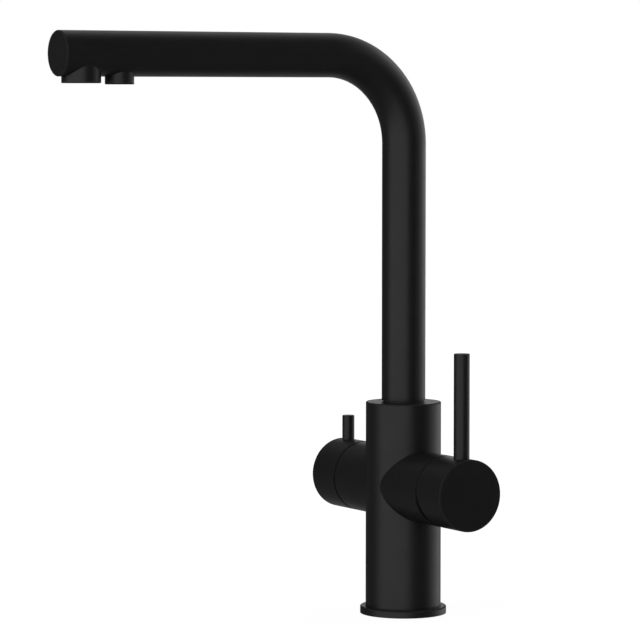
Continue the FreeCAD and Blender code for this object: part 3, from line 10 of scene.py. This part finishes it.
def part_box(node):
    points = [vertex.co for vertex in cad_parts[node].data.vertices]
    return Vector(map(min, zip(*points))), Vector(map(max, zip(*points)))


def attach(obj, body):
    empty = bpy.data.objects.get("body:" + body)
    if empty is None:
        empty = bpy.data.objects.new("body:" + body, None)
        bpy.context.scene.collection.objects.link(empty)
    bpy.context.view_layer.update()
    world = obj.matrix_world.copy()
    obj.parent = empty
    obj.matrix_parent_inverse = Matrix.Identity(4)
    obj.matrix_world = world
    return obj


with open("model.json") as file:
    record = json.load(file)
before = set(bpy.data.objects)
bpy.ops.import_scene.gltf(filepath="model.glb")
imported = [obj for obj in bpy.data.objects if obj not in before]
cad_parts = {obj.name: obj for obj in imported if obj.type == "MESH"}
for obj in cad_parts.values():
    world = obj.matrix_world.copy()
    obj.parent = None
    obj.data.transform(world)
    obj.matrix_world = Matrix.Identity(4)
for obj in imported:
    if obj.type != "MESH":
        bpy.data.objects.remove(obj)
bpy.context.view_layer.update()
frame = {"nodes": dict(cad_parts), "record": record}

scene = bpy.context.scene

# Lengths are in metres, lamp powers in watts and colours linear.
# An azimuth is measured round the tap from its front, where the arm points.
FULL_TURN = 2.0 * np.pi
MM_PER_METRE = 1000.0
WHITE = (1.0, 1.0, 1.0, 1.0)


def direction(azimuth, elevation):
    """Unit vector away from the tap at an azimuth and an elevation."""
    return Vector((math.sin(azimuth) * math.cos(elevation),
                   -math.cos(azimuth) * math.cos(elevation),
                   math.sin(elevation)))


# ---- Camera ----------------------------------------------------------------------
CAMERA_AZIMUTH = math.radians(58.205)
CAMERA_TURN = math.radians(1.428)
CAMERA_PITCH = math.radians(2.499)
CAMERA_ROLL = math.radians(0.054)
CAMERA_DISTANCE = 2.1494
CAMERA_HEIGHT = 0.3338
CAMERA_LENS = 189.29
CAMERA_SENSOR = 36.0
CAMERA_SHIFT = -0.1272


def add_camera():
    """The photograph's long lens, just under the arm's height, on the mixer's side of the front."""
    heading = CAMERA_AZIMUTH + CAMERA_TURN
    forward = -direction(heading, CAMERA_PITCH)
    right = Vector((math.cos(heading), math.sin(heading), 0.0))
    up = right.cross(forward)
    rolled_right = right * math.cos(CAMERA_ROLL) + up * math.sin(CAMERA_ROLL)
    rolled_up = up * math.cos(CAMERA_ROLL) - right * math.sin(CAMERA_ROLL)
    place = Vector((math.sin(CAMERA_AZIMUTH) * CAMERA_DISTANCE,
                    -math.cos(CAMERA_AZIMUTH) * CAMERA_DISTANCE,
                    CAMERA_HEIGHT))
    data = bpy.data.cameras.new("camera")
    data.lens = CAMERA_LENS
    data.sensor_width = CAMERA_SENSOR
    data.sensor_fit = "HORIZONTAL"
    data.shift_y = CAMERA_SHIFT
    camera = bpy.data.objects.new("camera", data)
    scene.collection.objects.link(camera)
    turn = Matrix((rolled_right, rolled_up, -forward)).transposed()
    camera.matrix_world = Matrix.Translation(place) @ turn.to_4x4()
    scene.camera = camera


# ---- Shader arithmetic -------------------------------------------------------------
def feed(tree, socket, value):
    """Gives a socket a fixed number, or links another node's output to it."""
    if isinstance(value, float):
        socket.default_value = value
    else:
        tree.links.new(value, socket)


def worked_out(tree, operation, first, second):
    """Number that a sum, product or the like makes of two others."""
    node = tree.nodes.new("ShaderNodeMath")
    node.operation = operation
    tree.links.new(first, node.inputs[0])
    tree.links.new(second, node.inputs[1])
    return node.outputs[0]


def ranged(tree, value, start, stop, low, high, smooth=False):
    """Number that runs from low to high as the value goes from start to stop, and stays there."""
    node = tree.nodes.new("ShaderNodeMapRange")
    if smooth:
        node.interpolation_type = "SMOOTHSTEP"
    feed(tree, node.inputs["From Min"], start)
    feed(tree, node.inputs["From Max"], stop)
    feed(tree, node.inputs["To Min"], low)
    feed(tree, node.inputs["To Max"], high)
    tree.links.new(value, node.inputs["Value"])
    return node.outputs["Result"]


def length(tree, vector):
    """Length of a vector."""
    node = tree.nodes.new("ShaderNodeVectorMath")
    node.operation = "LENGTH"
    tree.links.new(vector, node.inputs[0])
    return node.outputs["Value"]


def flat_length(tree, x, y):
    """Length of the vector (x, y)."""
    pair = tree.nodes.new("ShaderNodeCombineXYZ")
    tree.links.new(x, pair.inputs["X"])
    tree.links.new(y, pair.inputs["Y"])
    return length(tree, pair.outputs[0])


# ---- Light and floor -----------------------------------------------------------------
LAMP_TARGET = (0, -0.05, 0.18)

# Shares of full white: as a light, and in reflections all round, from below and from behind.
ROOM_LEVEL = 0.03
WHITE_IN_MIRRORS = 0.03
WHITE_UNDER_MIRRORS = 0.11
WHITE_IN_SWEEP = 0.32
# Heights on the unit sphere at which the paler lower half begins and is full.
LOWER_HALF_START = 0.1
LOWER_HALF_FULL = -0.5
SWEEP_AZIMUTH = math.radians(212)
SWEEP_DIP = math.radians(20)
SWEEP_HALF_ANGLE = math.radians(55)

FLOOR_HALF_SIDE = 3.0
FLOOR_DROP = 0.0001
FLOOR_TONE = 0.82
FLOOR_GLOW = 1.06
# How much of the floor's look is its lit paper under the tap, and how far out that fades to none.
SHADOW_SHARE = 0.1
SHADOW_REACH = 0.6


def add_softbox(name, azimuth_deg, elevation_deg, distance, width, height, power):
    """Rectangular lamp at an angle round the tap, facing it."""
    offset = direction(math.radians(azimuth_deg), math.radians(elevation_deg)) * distance
    data = bpy.data.lights.new(name, "AREA")
    data.shape = "RECTANGLE"
    data.size = width
    data.size_y = height
    data.energy = power
    lamp = bpy.data.objects.new(name, data)
    lamp.visible_camera = False
    lamp.location = Vector(LAMP_TARGET) + offset
    lamp.rotation_euler = (-offset).to_track_quat("-Z", "Y").to_euler()
    scene.collection.objects.link(lamp)


def white_to_the_eye(tree, path):
    """Factor that is 1 where the camera looks, straight or through a clear piece, and else 0."""
    return worked_out(tree, "MAXIMUM", path.outputs["Is Camera Ray"],
                      path.outputs["Is Transmission Ray"])


def white_in_reflections(tree, path):
    """Factor for what a polished surface shows: a share of the white, more low down and behind.

    The paper floor is left out of reflections. The paler lower half of the room stands for it,
    and the patch behind the tap for the sweep of paper that rises there.
    """
    place = tree.nodes.new("ShaderNodeTexCoord")
    parts = tree.nodes.new("ShaderNodeSeparateXYZ")
    tree.links.new(place.outputs["Generated"], parts.inputs[0])
    low = ranged(tree, parts.outputs["Z"], LOWER_HALF_START, LOWER_HALF_FULL,
                 WHITE_IN_MIRRORS, WHITE_UNDER_MIRRORS, smooth=True)
    towards_sweep = tree.nodes.new("ShaderNodeVectorMath")
    towards_sweep.operation = "DOT_PRODUCT"
    towards_sweep.inputs[1].default_value = direction(SWEEP_AZIMUTH, -SWEEP_DIP)
    tree.links.new(place.outputs["Generated"], towards_sweep.inputs[0])
    sweep = ranged(tree, towards_sweep.outputs["Value"], math.cos(SWEEP_HALF_ANGLE), 1.0,
                   0.0, WHITE_IN_SWEEP, smooth=True)
    share = worked_out(tree, "ADD", low, sweep)
    return worked_out(tree, "MULTIPLY", path.outputs["Is Glossy Ray"], share)


def add_world():
    """Even room: white to the camera, and dim as a light and in reflections."""
    world = bpy.data.worlds.new("room")
    scene.world = world
    world.use_nodes = True
    tree = world.node_tree
    tree.nodes.clear()
    path = tree.nodes.new("ShaderNodeLightPath")
    seen = worked_out(tree, "ADD", white_to_the_eye(tree, path), white_in_reflections(tree, path))
    strength = ranged(tree, seen, 0.0, 1.0, ROOM_LEVEL, 1.0)
    shade = tree.nodes.new("ShaderNodeBackground")
    shade.inputs["Color"].default_value = WHITE
    tree.links.new(strength, shade.inputs["Strength"])
    out = tree.nodes.new("ShaderNodeOutputWorld")
    tree.links.new(shade.outputs[0], out.inputs["Surface"])


def add_floor():
    """Pale floor in the plane of the tap's foot, white to the camera but for a light shadow."""
    side = FLOOR_HALF_SIDE
    low = -FLOOR_DROP
    corners = [(-side, -side, low), (side, -side, low), (side, side, low), (-side, side, low)]
    mesh = bpy.data.meshes.new("floor")
    mesh.from_pydata(corners, [], [(0, 1, 2, 3)])
    floor = bpy.data.objects.new("floor", mesh)
    scene.collection.objects.link(floor)
    material = bpy.data.materials.new("floor_paper")
    material.use_nodes = True
    tree = material.node_tree
    tree.nodes.clear()
    paper = tree.nodes.new("ShaderNodeBsdfDiffuse")
    paper.inputs["Color"].default_value = (FLOOR_TONE, FLOOR_TONE, FLOOR_TONE, 1.0)
    glow = tree.nodes.new("ShaderNodeEmission")
    glow.inputs["Strength"].default_value = FLOOR_GLOW
    place = tree.nodes.new("ShaderNodeTexCoord")
    distance = length(tree, place.outputs["Object"])
    white = ranged(tree, distance, 0.0, SHADOW_REACH, 1.0 - SHADOW_SHARE, 1.0)
    path = tree.nodes.new("ShaderNodeLightPath")
    share = worked_out(tree, "MULTIPLY", white_to_the_eye(tree, path), white)
    mix = tree.nodes.new("ShaderNodeMixShader")
    tree.links.new(share, mix.inputs["Fac"])
    tree.links.new(paper.outputs[0], mix.inputs[1])
    tree.links.new(glow.outputs[0], mix.inputs[2])
    out = tree.nodes.new("ShaderNodeOutputMaterial")
    tree.links.new(mix.outputs[0], out.inputs["Surface"])
    mesh.materials.append(material)
    floor.visible_glossy = False


# ---- Shared effects --------------------------------------------------------------------
RUBBED_PATCHES_PER_METRE = 420.0


def new_group(name, inputs, outputs):
    """Shader group with number inputs (name, value) and number outputs, and its two ends."""
    group = bpy.data.node_groups.new(name, "ShaderNodeTree")
    for socket, value in inputs:
        item = group.interface.new_socket(name=socket, in_out="INPUT",
                                          socket_type="NodeSocketFloat")
        item.default_value = value
    for socket in outputs:
        group.interface.new_socket(name=socket, in_out="OUTPUT", socket_type="NodeSocketFloat")
    start = group.nodes.new("NodeGroupInput")
    end = group.nodes.new("NodeGroupOutput")
    return group, start, end


def noise(group, scale, detail, roughness):
    """Noise from 0 to 1 on the object's own coordinates, at a scale in features per metre."""
    place = group.nodes.new("ShaderNodeTexCoord")
    texture = group.nodes.new("ShaderNodeTexNoise")
    texture.inputs["Detail"].default_value = detail
    texture.inputs["Roughness"].default_value = roughness
    group.links.new(place.outputs["Object"], texture.inputs["Vector"])
    feed(group, texture.inputs["Scale"], scale)
    return texture.outputs["Fac"]


def powder_grain_group():
    """Sprayed coat: fine rounded grain over a slow unevenness."""
    group, start, end = new_group("powder_grain",
                                  [("Grain per metre", 2600.0), ("Cloud per metre", 60.0)],
                                  ["Height", "Cloud"])
    grain = noise(group, start.outputs["Grain per metre"], detail=3.0, roughness=0.6)
    group.links.new(grain, end.inputs["Height"])
    cloud = noise(group, start.outputs["Cloud per metre"], detail=3.0, roughness=0.55)
    group.links.new(cloud, end.inputs["Cloud"])
    return group


def mottle_group():
    """Slow unevenness and fine grain of a moulded or fired surface."""
    group, start, end = new_group("mottle",
                                  [("Patches per metre", 140.0), ("Grain per metre", 3000.0)],
                                  ["Patches", "Grain"])
    patches = noise(group, start.outputs["Patches per metre"], detail=4.0, roughness=0.6)
    group.links.new(patches, end.inputs["Patches"])
    grain = noise(group, start.outputs["Grain per metre"], detail=2.0, roughness=0.5)
    group.links.new(grain, end.inputs["Grain"])
    return group


def tool_marks_group():
    """Fine close marks that a cutting tool leaves on bare metal."""
    group, start, end = new_group("tool_marks", [("Lines per metre", 9000.0)], ["Lines"])
    lines = noise(group, start.outputs["Lines per metre"], detail=4.0, roughness=0.7)
    group.links.new(lines, end.inputs["Lines"])
    return group


def worn_and_painted_shade_rim_group():
    """Masks round a circle about an axis: 1 on the circle, 0 from Band off it, and broken up.

    Along is the distance from the circle's plane, Side and Rise the two across the axis.
    """
    group, start, end = new_group("worn_and_painted_shade_rim",
                                  [("Along", 0.0), ("Side", 0.0), ("Rise", 0.0),
                                   ("Radius", 0.02), ("Band", 0.0006)],
                                  ["Rim", "Worn and painted shade"])
    from_axis = flat_length(group, start.outputs["Side"], start.outputs["Rise"])
    off_circle = worked_out(group, "SUBTRACT", from_axis, start.outputs["Radius"])
    distance = flat_length(group, off_circle, start.outputs["Along"])
    rim = ranged(group, distance, 0.0, start.outputs["Band"], 1.0, 0.0, smooth=True)
    group.links.new(rim, end.inputs["Rim"])
    patches = noise(group, RUBBED_PATCHES_PER_METRE, detail=3.0, roughness=0.6)
    group.links.new(worked_out(group, "MULTIPLY", rim, patches), end.inputs["Worn and painted shade"])
    return group


GROUPS = {
    "powder_grain": powder_grain_group(),
    "mottle": mottle_group(),
    "tool_marks": tool_marks_group(),
    "worn_and_painted_shade_rim": worn_and_painted_shade_rim_group(),
}

# ---- Materials ---------------------------------------------------------------------------
# Noise values between which a tone or a roughness runs from its low to its high end.
NOISE_LOW = 0.3
NOISE_HIGH = 0.7

COAT_LOW = (0.007, 0.007, 0.0072)
COAT_HIGH = (0.0105, 0.0105, 0.0107)
COAT_RUBBED = (0.015, 0.015, 0.0152)
# Painted shade: near-black coat tone for rims in a gap and for the cartridge cover in the cap gap.
COAT_PAINTED_SHADE = (0.002, 0.002, 0.002)
COAT_SPECULAR = 0.25
COAT_RELIEF = 0.00003
RIM_ROUGHNESS = 0.9
GAP_ROUGHNESS = 1.0
RIM_BAND = 0.0012
NARROW_RIM_BAND = 0.0006
MOULDED_ROUGHNESS_SPREAD = 0.05
MACHINED_ROUGHNESS_SPREAD = 0.06
MACHINED_RELIEF = 0.000004


def new_material(name, metallic=0.0, specular=0.5):
    """Material with a Principled surface whose constants stand on its own sockets."""
    material = bpy.data.materials.new(name)
    material.use_nodes = True
    tree = material.node_tree
    surface = tree.nodes["Principled BSDF"]
    surface.inputs["Metallic"].default_value = metallic
    surface.inputs["Specular IOR Level"].default_value = specular
    surface.inputs["IOR"].default_value = 1.5
    return material, tree, surface


def effect(tree, group, **values):
    """Places a shared effect with its own values, an underscore in a name standing for a space."""
    node = tree.nodes.new("ShaderNodeGroup")
    node.node_tree = GROUPS[group]
    for name, value in values.items():
        node.inputs[name.replace("_", " ")].default_value = value
    return node


def tone(tree, factor, low, high):
    """Colour that runs from low to high as the noise does."""
    ramp = tree.nodes.new("ShaderNodeValToRGB")
    dark, pale = ramp.color_ramp.elements
    dark.position = NOISE_LOW
    dark.color = (*low, 1.0)
    pale.position = NOISE_HIGH
    pale.color = (*high, 1.0)
    tree.links.new(factor, ramp.inputs["Fac"])
    return ramp.outputs["Color"]


def between(tree, factor, low, high):
    """Number that runs from low to high as the noise does."""
    return ranged(tree, factor, NOISE_LOW, NOISE_HIGH, low, high)


def bump(tree, surface, height, depth):
    """Relief of a real depth."""
    node = tree.nodes.new("ShaderNodeBump")
    node.inputs["Strength"].default_value = 1.0
    node.inputs["Distance"].default_value = depth
    tree.links.new(height, node.inputs["Height"])
    tree.links.new(node.outputs["Normal"], surface.inputs["Normal"])


def rims(tree, circles):
    """Rim mask and patchy rim mask of all the circles (axis, centre, radius, band) on one piece.
    The patchy mask places worn patches on open rims and painted shade on rims in a gap.
    """
    place = tree.nodes.new("ShaderNodeTexCoord")
    masks = []
    for axis, centre, radius, band in circles:
        shift = tree.nodes.new("ShaderNodeVectorMath")
        shift.operation = "SUBTRACT"
        shift.inputs[1].default_value = centre
        tree.links.new(place.outputs["Object"], shift.inputs[0])
        parts = tree.nodes.new("ShaderNodeSeparateXYZ")
        tree.links.new(shift.outputs[0], parts.inputs[0])
        rim_mask_node = effect(tree, "worn_and_painted_shade_rim", Radius=radius, Band=band)
        side, rise = [letter for letter in "XYZ" if letter != axis]
        tree.links.new(parts.outputs[axis], rim_mask_node.inputs["Along"])
        tree.links.new(parts.outputs[side], rim_mask_node.inputs["Side"])
        tree.links.new(parts.outputs[rise], rim_mask_node.inputs["Rise"])
        new_masks = [rim_mask_node.outputs["Rim"], rim_mask_node.outputs["Worn and painted shade"]]
        if masks:
            new_masks = [worked_out(tree, "MAXIMUM", *pair) for pair in zip(masks, new_masks)]
        masks = new_masks
    return masks


def along_rims(tree, circles, wear_and_shade_tone, rim_roughness, colour, roughness):
    """Colour and roughness that go to the rim's own along the circles. The rim's tone is a worn one
    on open rims and painted shade on rims in a gap.
    """
    rim, worn_and_painted_shade_patches = rims(tree, circles)
    mix = tree.nodes.new("ShaderNodeMix")
    mix.data_type = "RGBA"
    mix.inputs["B"].default_value = (*wear_and_shade_tone, 1.0)
    tree.links.new(worn_and_painted_shade_patches, mix.inputs["Factor"])
    tree.links.new(colour, mix.inputs["A"])
    return mix.outputs["Result"], ranged(tree, rim, 0.0, 1.0, roughness, rim_roughness)


def black_coat(name, circles=(), painted_shade_circles=(), low=COAT_LOW, high=COAT_HIGH,
               smooth=0.37, rough=0.43):
    """Matte black sprayed coat.

    It is dull and a little worn along its open rims, and dull with painted shade along those in a
    gap.
    """
    material, tree, surface = new_material(name, specular=COAT_SPECULAR)
    grain = effect(tree, "powder_grain", Grain_per_metre=2400.0, Cloud_per_metre=55.0)
    colour = tone(tree, grain.outputs["Height"], low, high)
    roughness = between(tree, grain.outputs["Cloud"], smooth, rough)
    if circles:
        colour, roughness = along_rims(tree, circles, COAT_RUBBED, RIM_ROUGHNESS,
                                       colour, roughness)
    # Painted shade: the coat goes near-black and fully rough along rims in a gap.
    if painted_shade_circles:
        colour, roughness = along_rims(tree, painted_shade_circles, COAT_PAINTED_SHADE, GAP_ROUGHNESS,
                                       colour, roughness)
    tree.links.new(colour, surface.inputs["Base Color"])
    tree.links.new(roughness, surface.inputs["Roughness"])
    bump(tree, surface, grain.outputs["Height"], COAT_RELIEF)
    return material


def moulded(name, low, high, roughness, relief):
    """Moulded rubber or plastic, or fired ceramic."""
    material, tree, surface = new_material(name)
    mottle = effect(tree, "mottle", Patches_per_metre=140.0, Grain_per_metre=3200.0)
    tree.links.new(tone(tree, mottle.outputs["Patches"], low, high),
                   surface.inputs["Base Color"])
    rough = between(tree, mottle.outputs["Grain"], roughness - MOULDED_ROUGHNESS_SPREAD,
                    roughness + MOULDED_ROUGHNESS_SPREAD)
    tree.links.new(rough, surface.inputs["Roughness"])
    bump(tree, surface, mottle.outputs["Grain"], relief)
    return material


def machined(name, low, high, roughness):
    """Turned or milled metal."""
    material, tree, surface = new_material(name, metallic=1.0)
    marks = effect(tree, "tool_marks", Lines_per_metre=7000.0)
    tree.links.new(tone(tree, marks.outputs["Lines"], low, high), surface.inputs["Base Color"])
    rough = between(tree, marks.outputs["Lines"], roughness - MACHINED_ROUGHNESS_SPREAD,
                    roughness + MACHINED_ROUGHNESS_SPREAD)
    tree.links.new(rough, surface.inputs["Roughness"])
    bump(tree, surface, marks.outputs["Lines"], MACHINED_RELIEF)
    return material


FINISHES = {
    "black_coat": black_coat("matte_black_coat"),
    "black_rubber": moulded("black_rubber", low=(0.012, 0.012, 0.012),
                            high=(0.022, 0.022, 0.022), roughness=0.62, relief=0.00002),
    "dark_plastic": moulded("black_plastic", low=(0.014, 0.014, 0.015),
                            high=(0.022, 0.022, 0.023), roughness=0.42, relief=0.00001),
    "pale_plastic": moulded("off_white_plastic", low=(0.56, 0.56, 0.53),
                            high=(0.66, 0.66, 0.63), roughness=0.4, relief=0.00001),
    "white_ceramic": moulded("white_ceramic", low=(0.76, 0.75, 0.71),
                             high=(0.82, 0.81, 0.78), roughness=0.18, relief=0.000003),
    "bare_brass": machined("turned_brass", low=(0.60, 0.42, 0.17),
                           high=(0.72, 0.52, 0.24), roughness=0.3),
    "bare_steel": machined("turned_steel", low=(0.48, 0.49, 0.5),
                           high=(0.6, 0.61, 0.62), roughness=0.3),
    "hose_rubber": moulded("milky_silicone", low=(0.66, 0.69, 0.72),
                           high=(0.76, 0.79, 0.81), roughness=0.35, relief=0.00001),
}

# ---- Finish of each CAD node ---------------------------------------------------------------
LOW_END = 0
HIGH_END = 1
SPOUT_AXIS = [0, 0, 0]


def end_of(node, axis, end):
    """Place of a CAD node's low or high end along an axis."""
    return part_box(node)[end]["XYZ".index(axis)]


def rim_circle(node, axis, at, band=RIM_BAND, centre=None):
    """Circle (axis, centre, radius, band) as wide as a CAD node, at one place along its axis."""
    low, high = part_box(node)
    middle = centre or [(a + b) / 2 for a, b in zip(low, high)]
    middle = [at if letter == axis else value for letter, value in zip("XYZ", middle)]
    side = ("XYZ".index(axis) + 1) % 3
    return axis, middle, (high[side] - low[side]) / 2, band


def own_rim(node, axis, end, band=RIM_BAND):
    """Circle round a CAD node at its own low or high end along an axis."""
    return rim_circle(node, axis, end_of(node, axis, end), band)


def coat_by_node():
    """Black coats whose duller rims follow each piece's own edges, and gap pieces with painted
    shade.

    The body's box takes in its side bosses, so its round is taken from the foot block below it.
    """
    # Rims that face a gap get painted shade: near-black and fully rough.
    painted_shade_rims = {
        "main_body": [rim_circle("mixer_handle", "X", end_of("main_body", "X", HIGH_END)),
                      rim_circle("filter_handle", "X", end_of("main_body", "X", LOW_END))],
        "mixer_handle": [own_rim("mixer_handle", "X", LOW_END)],
        "filter_handle": [own_rim("filter_handle", "X", HIGH_END)],
    }
    open_rims = {
        "main_body": rim_circle("foot_block", "Z", end_of("main_body", "Z", HIGH_END)),
        "base_flange": own_rim("base_flange", "Z", HIGH_END),
        "spout_tube": rim_circle("spout_tube", "Z", end_of("spout_tube", "Z", LOW_END),
                                 NARROW_RIM_BAND, SPOUT_AXIS),
        "spout_end_cap": own_rim("spout_end_cap", "Y", LOW_END),
        "mixer_handle": own_rim("mixer_handle", "X", HIGH_END),
        "filter_handle": own_rim("filter_handle", "X", LOW_END),
        "mixer_lever_rod": own_rim("mixer_lever_rod", "Z", HIGH_END, NARROW_RIM_BAND),
        "filter_lever_rod": own_rim("filter_lever_rod", "Z", HIGH_END, NARROW_RIM_BAND),
        "main_outlet_collar": own_rim("main_outlet_collar", "Z", LOW_END),
        "filter_outlet_collar": own_rim("filter_outlet_collar", "Z", LOW_END),
    }
    coats = {node: black_coat("coat_of_" + node, [rim], painted_shade_rims.get(node, ()))
             for node, rim in open_rims.items()}
    # Cartridge cover darkened to near-black: painted shade in the gap under the cap.
    coats["cartridge_cover"] = black_coat("coat_painted_shade_in_cap_gap", low=COAT_PAINTED_SHADE,
                                          high=COAT_PAINTED_SHADE, smooth=0.6, rough=0.7)
    # Glide ring darker than the other black plastic: painted shade in the gap between the arm's
    # tube and the body.
    coats["glide_ring"] = moulded("glide_ring_acetal_painted_shade", low=(0.003, 0.003, 0.003),
                                  high=(0.005, 0.005, 0.005), roughness=0.6, relief=0.00001)
    return coats


def finish_nodes():
    """Gives each CAD node the finish of its record slot, or its own coat of that finish."""
    own = coat_by_node()
    for row in frame["record"]["subparts"]:
        mesh = frame["nodes"][row["node"]].data
        mesh.materials.clear()
        mesh.materials.append(own.get(row["node"], FINISHES[row["material_slot"]]))


# ---- New pieces ------------------------------------------------------------------------------
MERGE_DISTANCE = 1e-7

HOSE_PITCH = 0.001
STUD_PITCH = 0.00125
THREAD_CREST = 0.00018
THREAD_WALL = 0.00006
SLEEVE_FIT = 0.00001
ROWS_PER_PITCH = 8
STEPS_ROUND = 60

GAUZE_PITCH = 0.0006
GAUZE_WIRE_R = 0.0001
GAUZE_LIFT = 0.00003
POINTS_PER_PITCH = 4
WIRE_SIDES = 6


def outward_mesh(name, points, faces):
    """Smooth mesh of four-cornered faces turned outward, its coinciding points merged."""
    a, b, c, d = (points[faces[:, k]] - points.mean(axis=0) for k in range(4))
    volume = (np.einsum("ij,ij->i", a, np.cross(b, c))
              + np.einsum("ij,ij->i", a, np.cross(c, d))).sum()
    if volume < 0:
        faces = faces[:, ::-1]
    mesh = bpy.data.meshes.new(name)
    mesh.from_pydata(points.tolist(), [], faces.tolist())
    shell = bmesh.new()
    shell.from_mesh(mesh)
    bmesh.ops.remove_doubles(shell, verts=shell.verts, dist=MERGE_DISTANCE)
    shell.to_mesh(mesh)
    shell.free()
    mesh.polygons.foreach_set("use_smooth", np.ones(len(mesh.polygons), dtype=bool))
    return mesh


def grid_faces(rows, steps, closed_rows=False):
    """Faces over a grid of points that closes round its steps, and round its rows where asked."""
    index = np.arange(rows * steps).reshape(rows, steps)
    first = index if closed_rows else index[:-1]
    second = np.roll(index, -1, axis=0) if closed_rows else index[1:]
    faces = [first, np.roll(first, -1, axis=1), np.roll(second, -1, axis=1), second]
    return np.stack(faces, axis=-1).reshape(-1, 4)


def add_piece(name, mesh, body, slot):
    """Puts a new piece in the scene, on its body and in its record slot's finish."""
    mesh.materials.append(FINISHES[slot])
    piece = bpy.data.objects.new(name, mesh)
    scene.collection.objects.link(piece)
    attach(piece, body)


def thread_sleeve(name, centre, radius, depth, pitch):
    """Tapped wall of a port, a thin closed sleeve.

    Its outer wall is a plain cylinder. The radius of its inner wall is the outer radius, less
    the wall, less a crest that is a triangle wave of (height / pitch - turn / full turn), faded
    out at both ends.
    """
    outer = radius - SLEEVE_FIT
    rows = int(round(depth / pitch * ROWS_PER_PITCH))
    height = np.linspace(SLEEVE_FIT, depth - SLEEVE_FIT, rows)[:, None]
    turn = np.linspace(0.0, FULL_TURN, STEPS_ROUND, endpoint=False)[None, :]
    wave = 1.0 - np.abs(2.0 * ((height / pitch - turn / FULL_TURN) % 1.0) - 1.0)
    fade = np.clip(np.minimum(height, depth - height) / pitch, 0.0, 1.0)
    inner = outer - THREAD_WALL - THREAD_CREST * wave * fade
    wall = np.full((2, STEPS_ROUND), outer)
    radii = np.concatenate([inner, wall])
    heights = np.concatenate([height, height[-1:], height[:1]])
    points = np.stack([centre[0] + radii * np.cos(turn),
                       centre[1] + radii * np.sin(turn),
                       centre[2] + np.broadcast_to(heights, radii.shape)], axis=-1)
    faces = grid_faces(len(radii), STEPS_ROUND, closed_rows=True)
    add_piece(name, outward_mesh(name, points.reshape(-1, 3), faces), "tap_body", "bare_brass")


def add_port_threads():
    """One tapped sleeve in each threaded hole that the record lists."""
    for mount in frame["record"]["mounts"]:
        if mount["kind"] == "threaded_hole":
            pitch = STUD_PITCH if mount["name"] == "fixing_stud" else HOSE_PITCH
            thread_sleeve(mount["name"] + "_thread", mount["pos_m"],
                          mount["dims"]["r_mm"] / MM_PER_METRE,
                          mount["dims"]["length_mm"] / MM_PER_METRE, pitch)


def gauze_wires(radius, along, across):
    """Points (wire, place, side, xyz) of the parallel wires of a round woven gauze.

    Wire k lies k pitches off the middle, as long as the circle's chord there. Its height is the
    wire's radius times the cosine of half a turn per pitch plus half a turn per k. The second
    direction is the first one's mirror image and has the other sign, so that crossing wires
    pass over and under each other. Both tips of a wire close to a point.
    """
    count = int(radius / GAUZE_PITCH - 0.5)
    number = np.arange(-count, count + 1)[:, None, None]
    offset = number * GAUZE_PITCH
    places = 2 * count * POINTS_PER_PITCH
    share = np.linspace(-1.0, 1.0, places)[None, :, None]
    run = share * np.sqrt(radius ** 2 - offset ** 2)
    sign = 1.0 if along == 0 else -1.0
    height = sign * GAUZE_WIRE_R * np.cos(np.pi * (run / GAUZE_PITCH + number))
    angle = np.linspace(0.0, FULL_TURN, WIRE_SIDES, endpoint=False)[None, None, :]
    thickness = GAUZE_WIRE_R * (np.abs(share) < 1.0)
    points = np.zeros((2 * count + 1, places, WIRE_SIDES, 3))
    points[..., along] = run
    points[..., across] = offset + thickness * np.cos(angle)
    points[..., 2] = height + sign * thickness * np.sin(angle)
    return points


def outlet_gauze(name, grid_node):
    """Woven steel gauze that lies on an outlet's honeycomb."""
    low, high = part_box(grid_node)
    radius = (high[0] - low[0]) / 2 - GAUZE_WIRE_R
    seat = np.array([(low[0] + high[0]) / 2, (low[1] + high[1]) / 2,
                     high[2] + 2 * GAUZE_WIRE_R + GAUZE_LIFT])
    wires = np.concatenate([gauze_wires(radius, 0, 1), gauze_wires(radius, 1, 0)])
    count, places, sides = wires.shape[:3]
    starts = np.arange(count)[:, None, None] * places * sides
    faces = (grid_faces(places, sides)[None] + starts).reshape(-1, 4)
    add_piece(name, outward_mesh(name, wires.reshape(-1, 3) + seat, faces), "spout", "bare_steel")


# ---- The whole scene -----------------------------------------------------------------------
add_camera()
add_world()
add_floor()
add_softbox("key", azimuth_deg=28, elevation_deg=8, distance=1.7,
            width=4.6, height=2.8, power=59)
add_softbox("rim", azimuth_deg=173, elevation_deg=10, distance=1.8,
            width=1.9, height=2.2, power=13)
add_softbox("back", azimuth_deg=214, elevation_deg=28, distance=1.8,
            width=2.0, height=2.4, power=9)
add_softbox("overhead", azimuth_deg=285, elevation_deg=62, distance=1.8,
            width=2.0, height=2.0, power=4)
finish_nodes()
add_port_threads()
outlet_gauze("main_outlet_gauze", "main_aerator_grid")
outlet_gauze("filter_outlet_gauze", "filter_aerator_grid")

scene.view_settings.view_transform = "Standard"
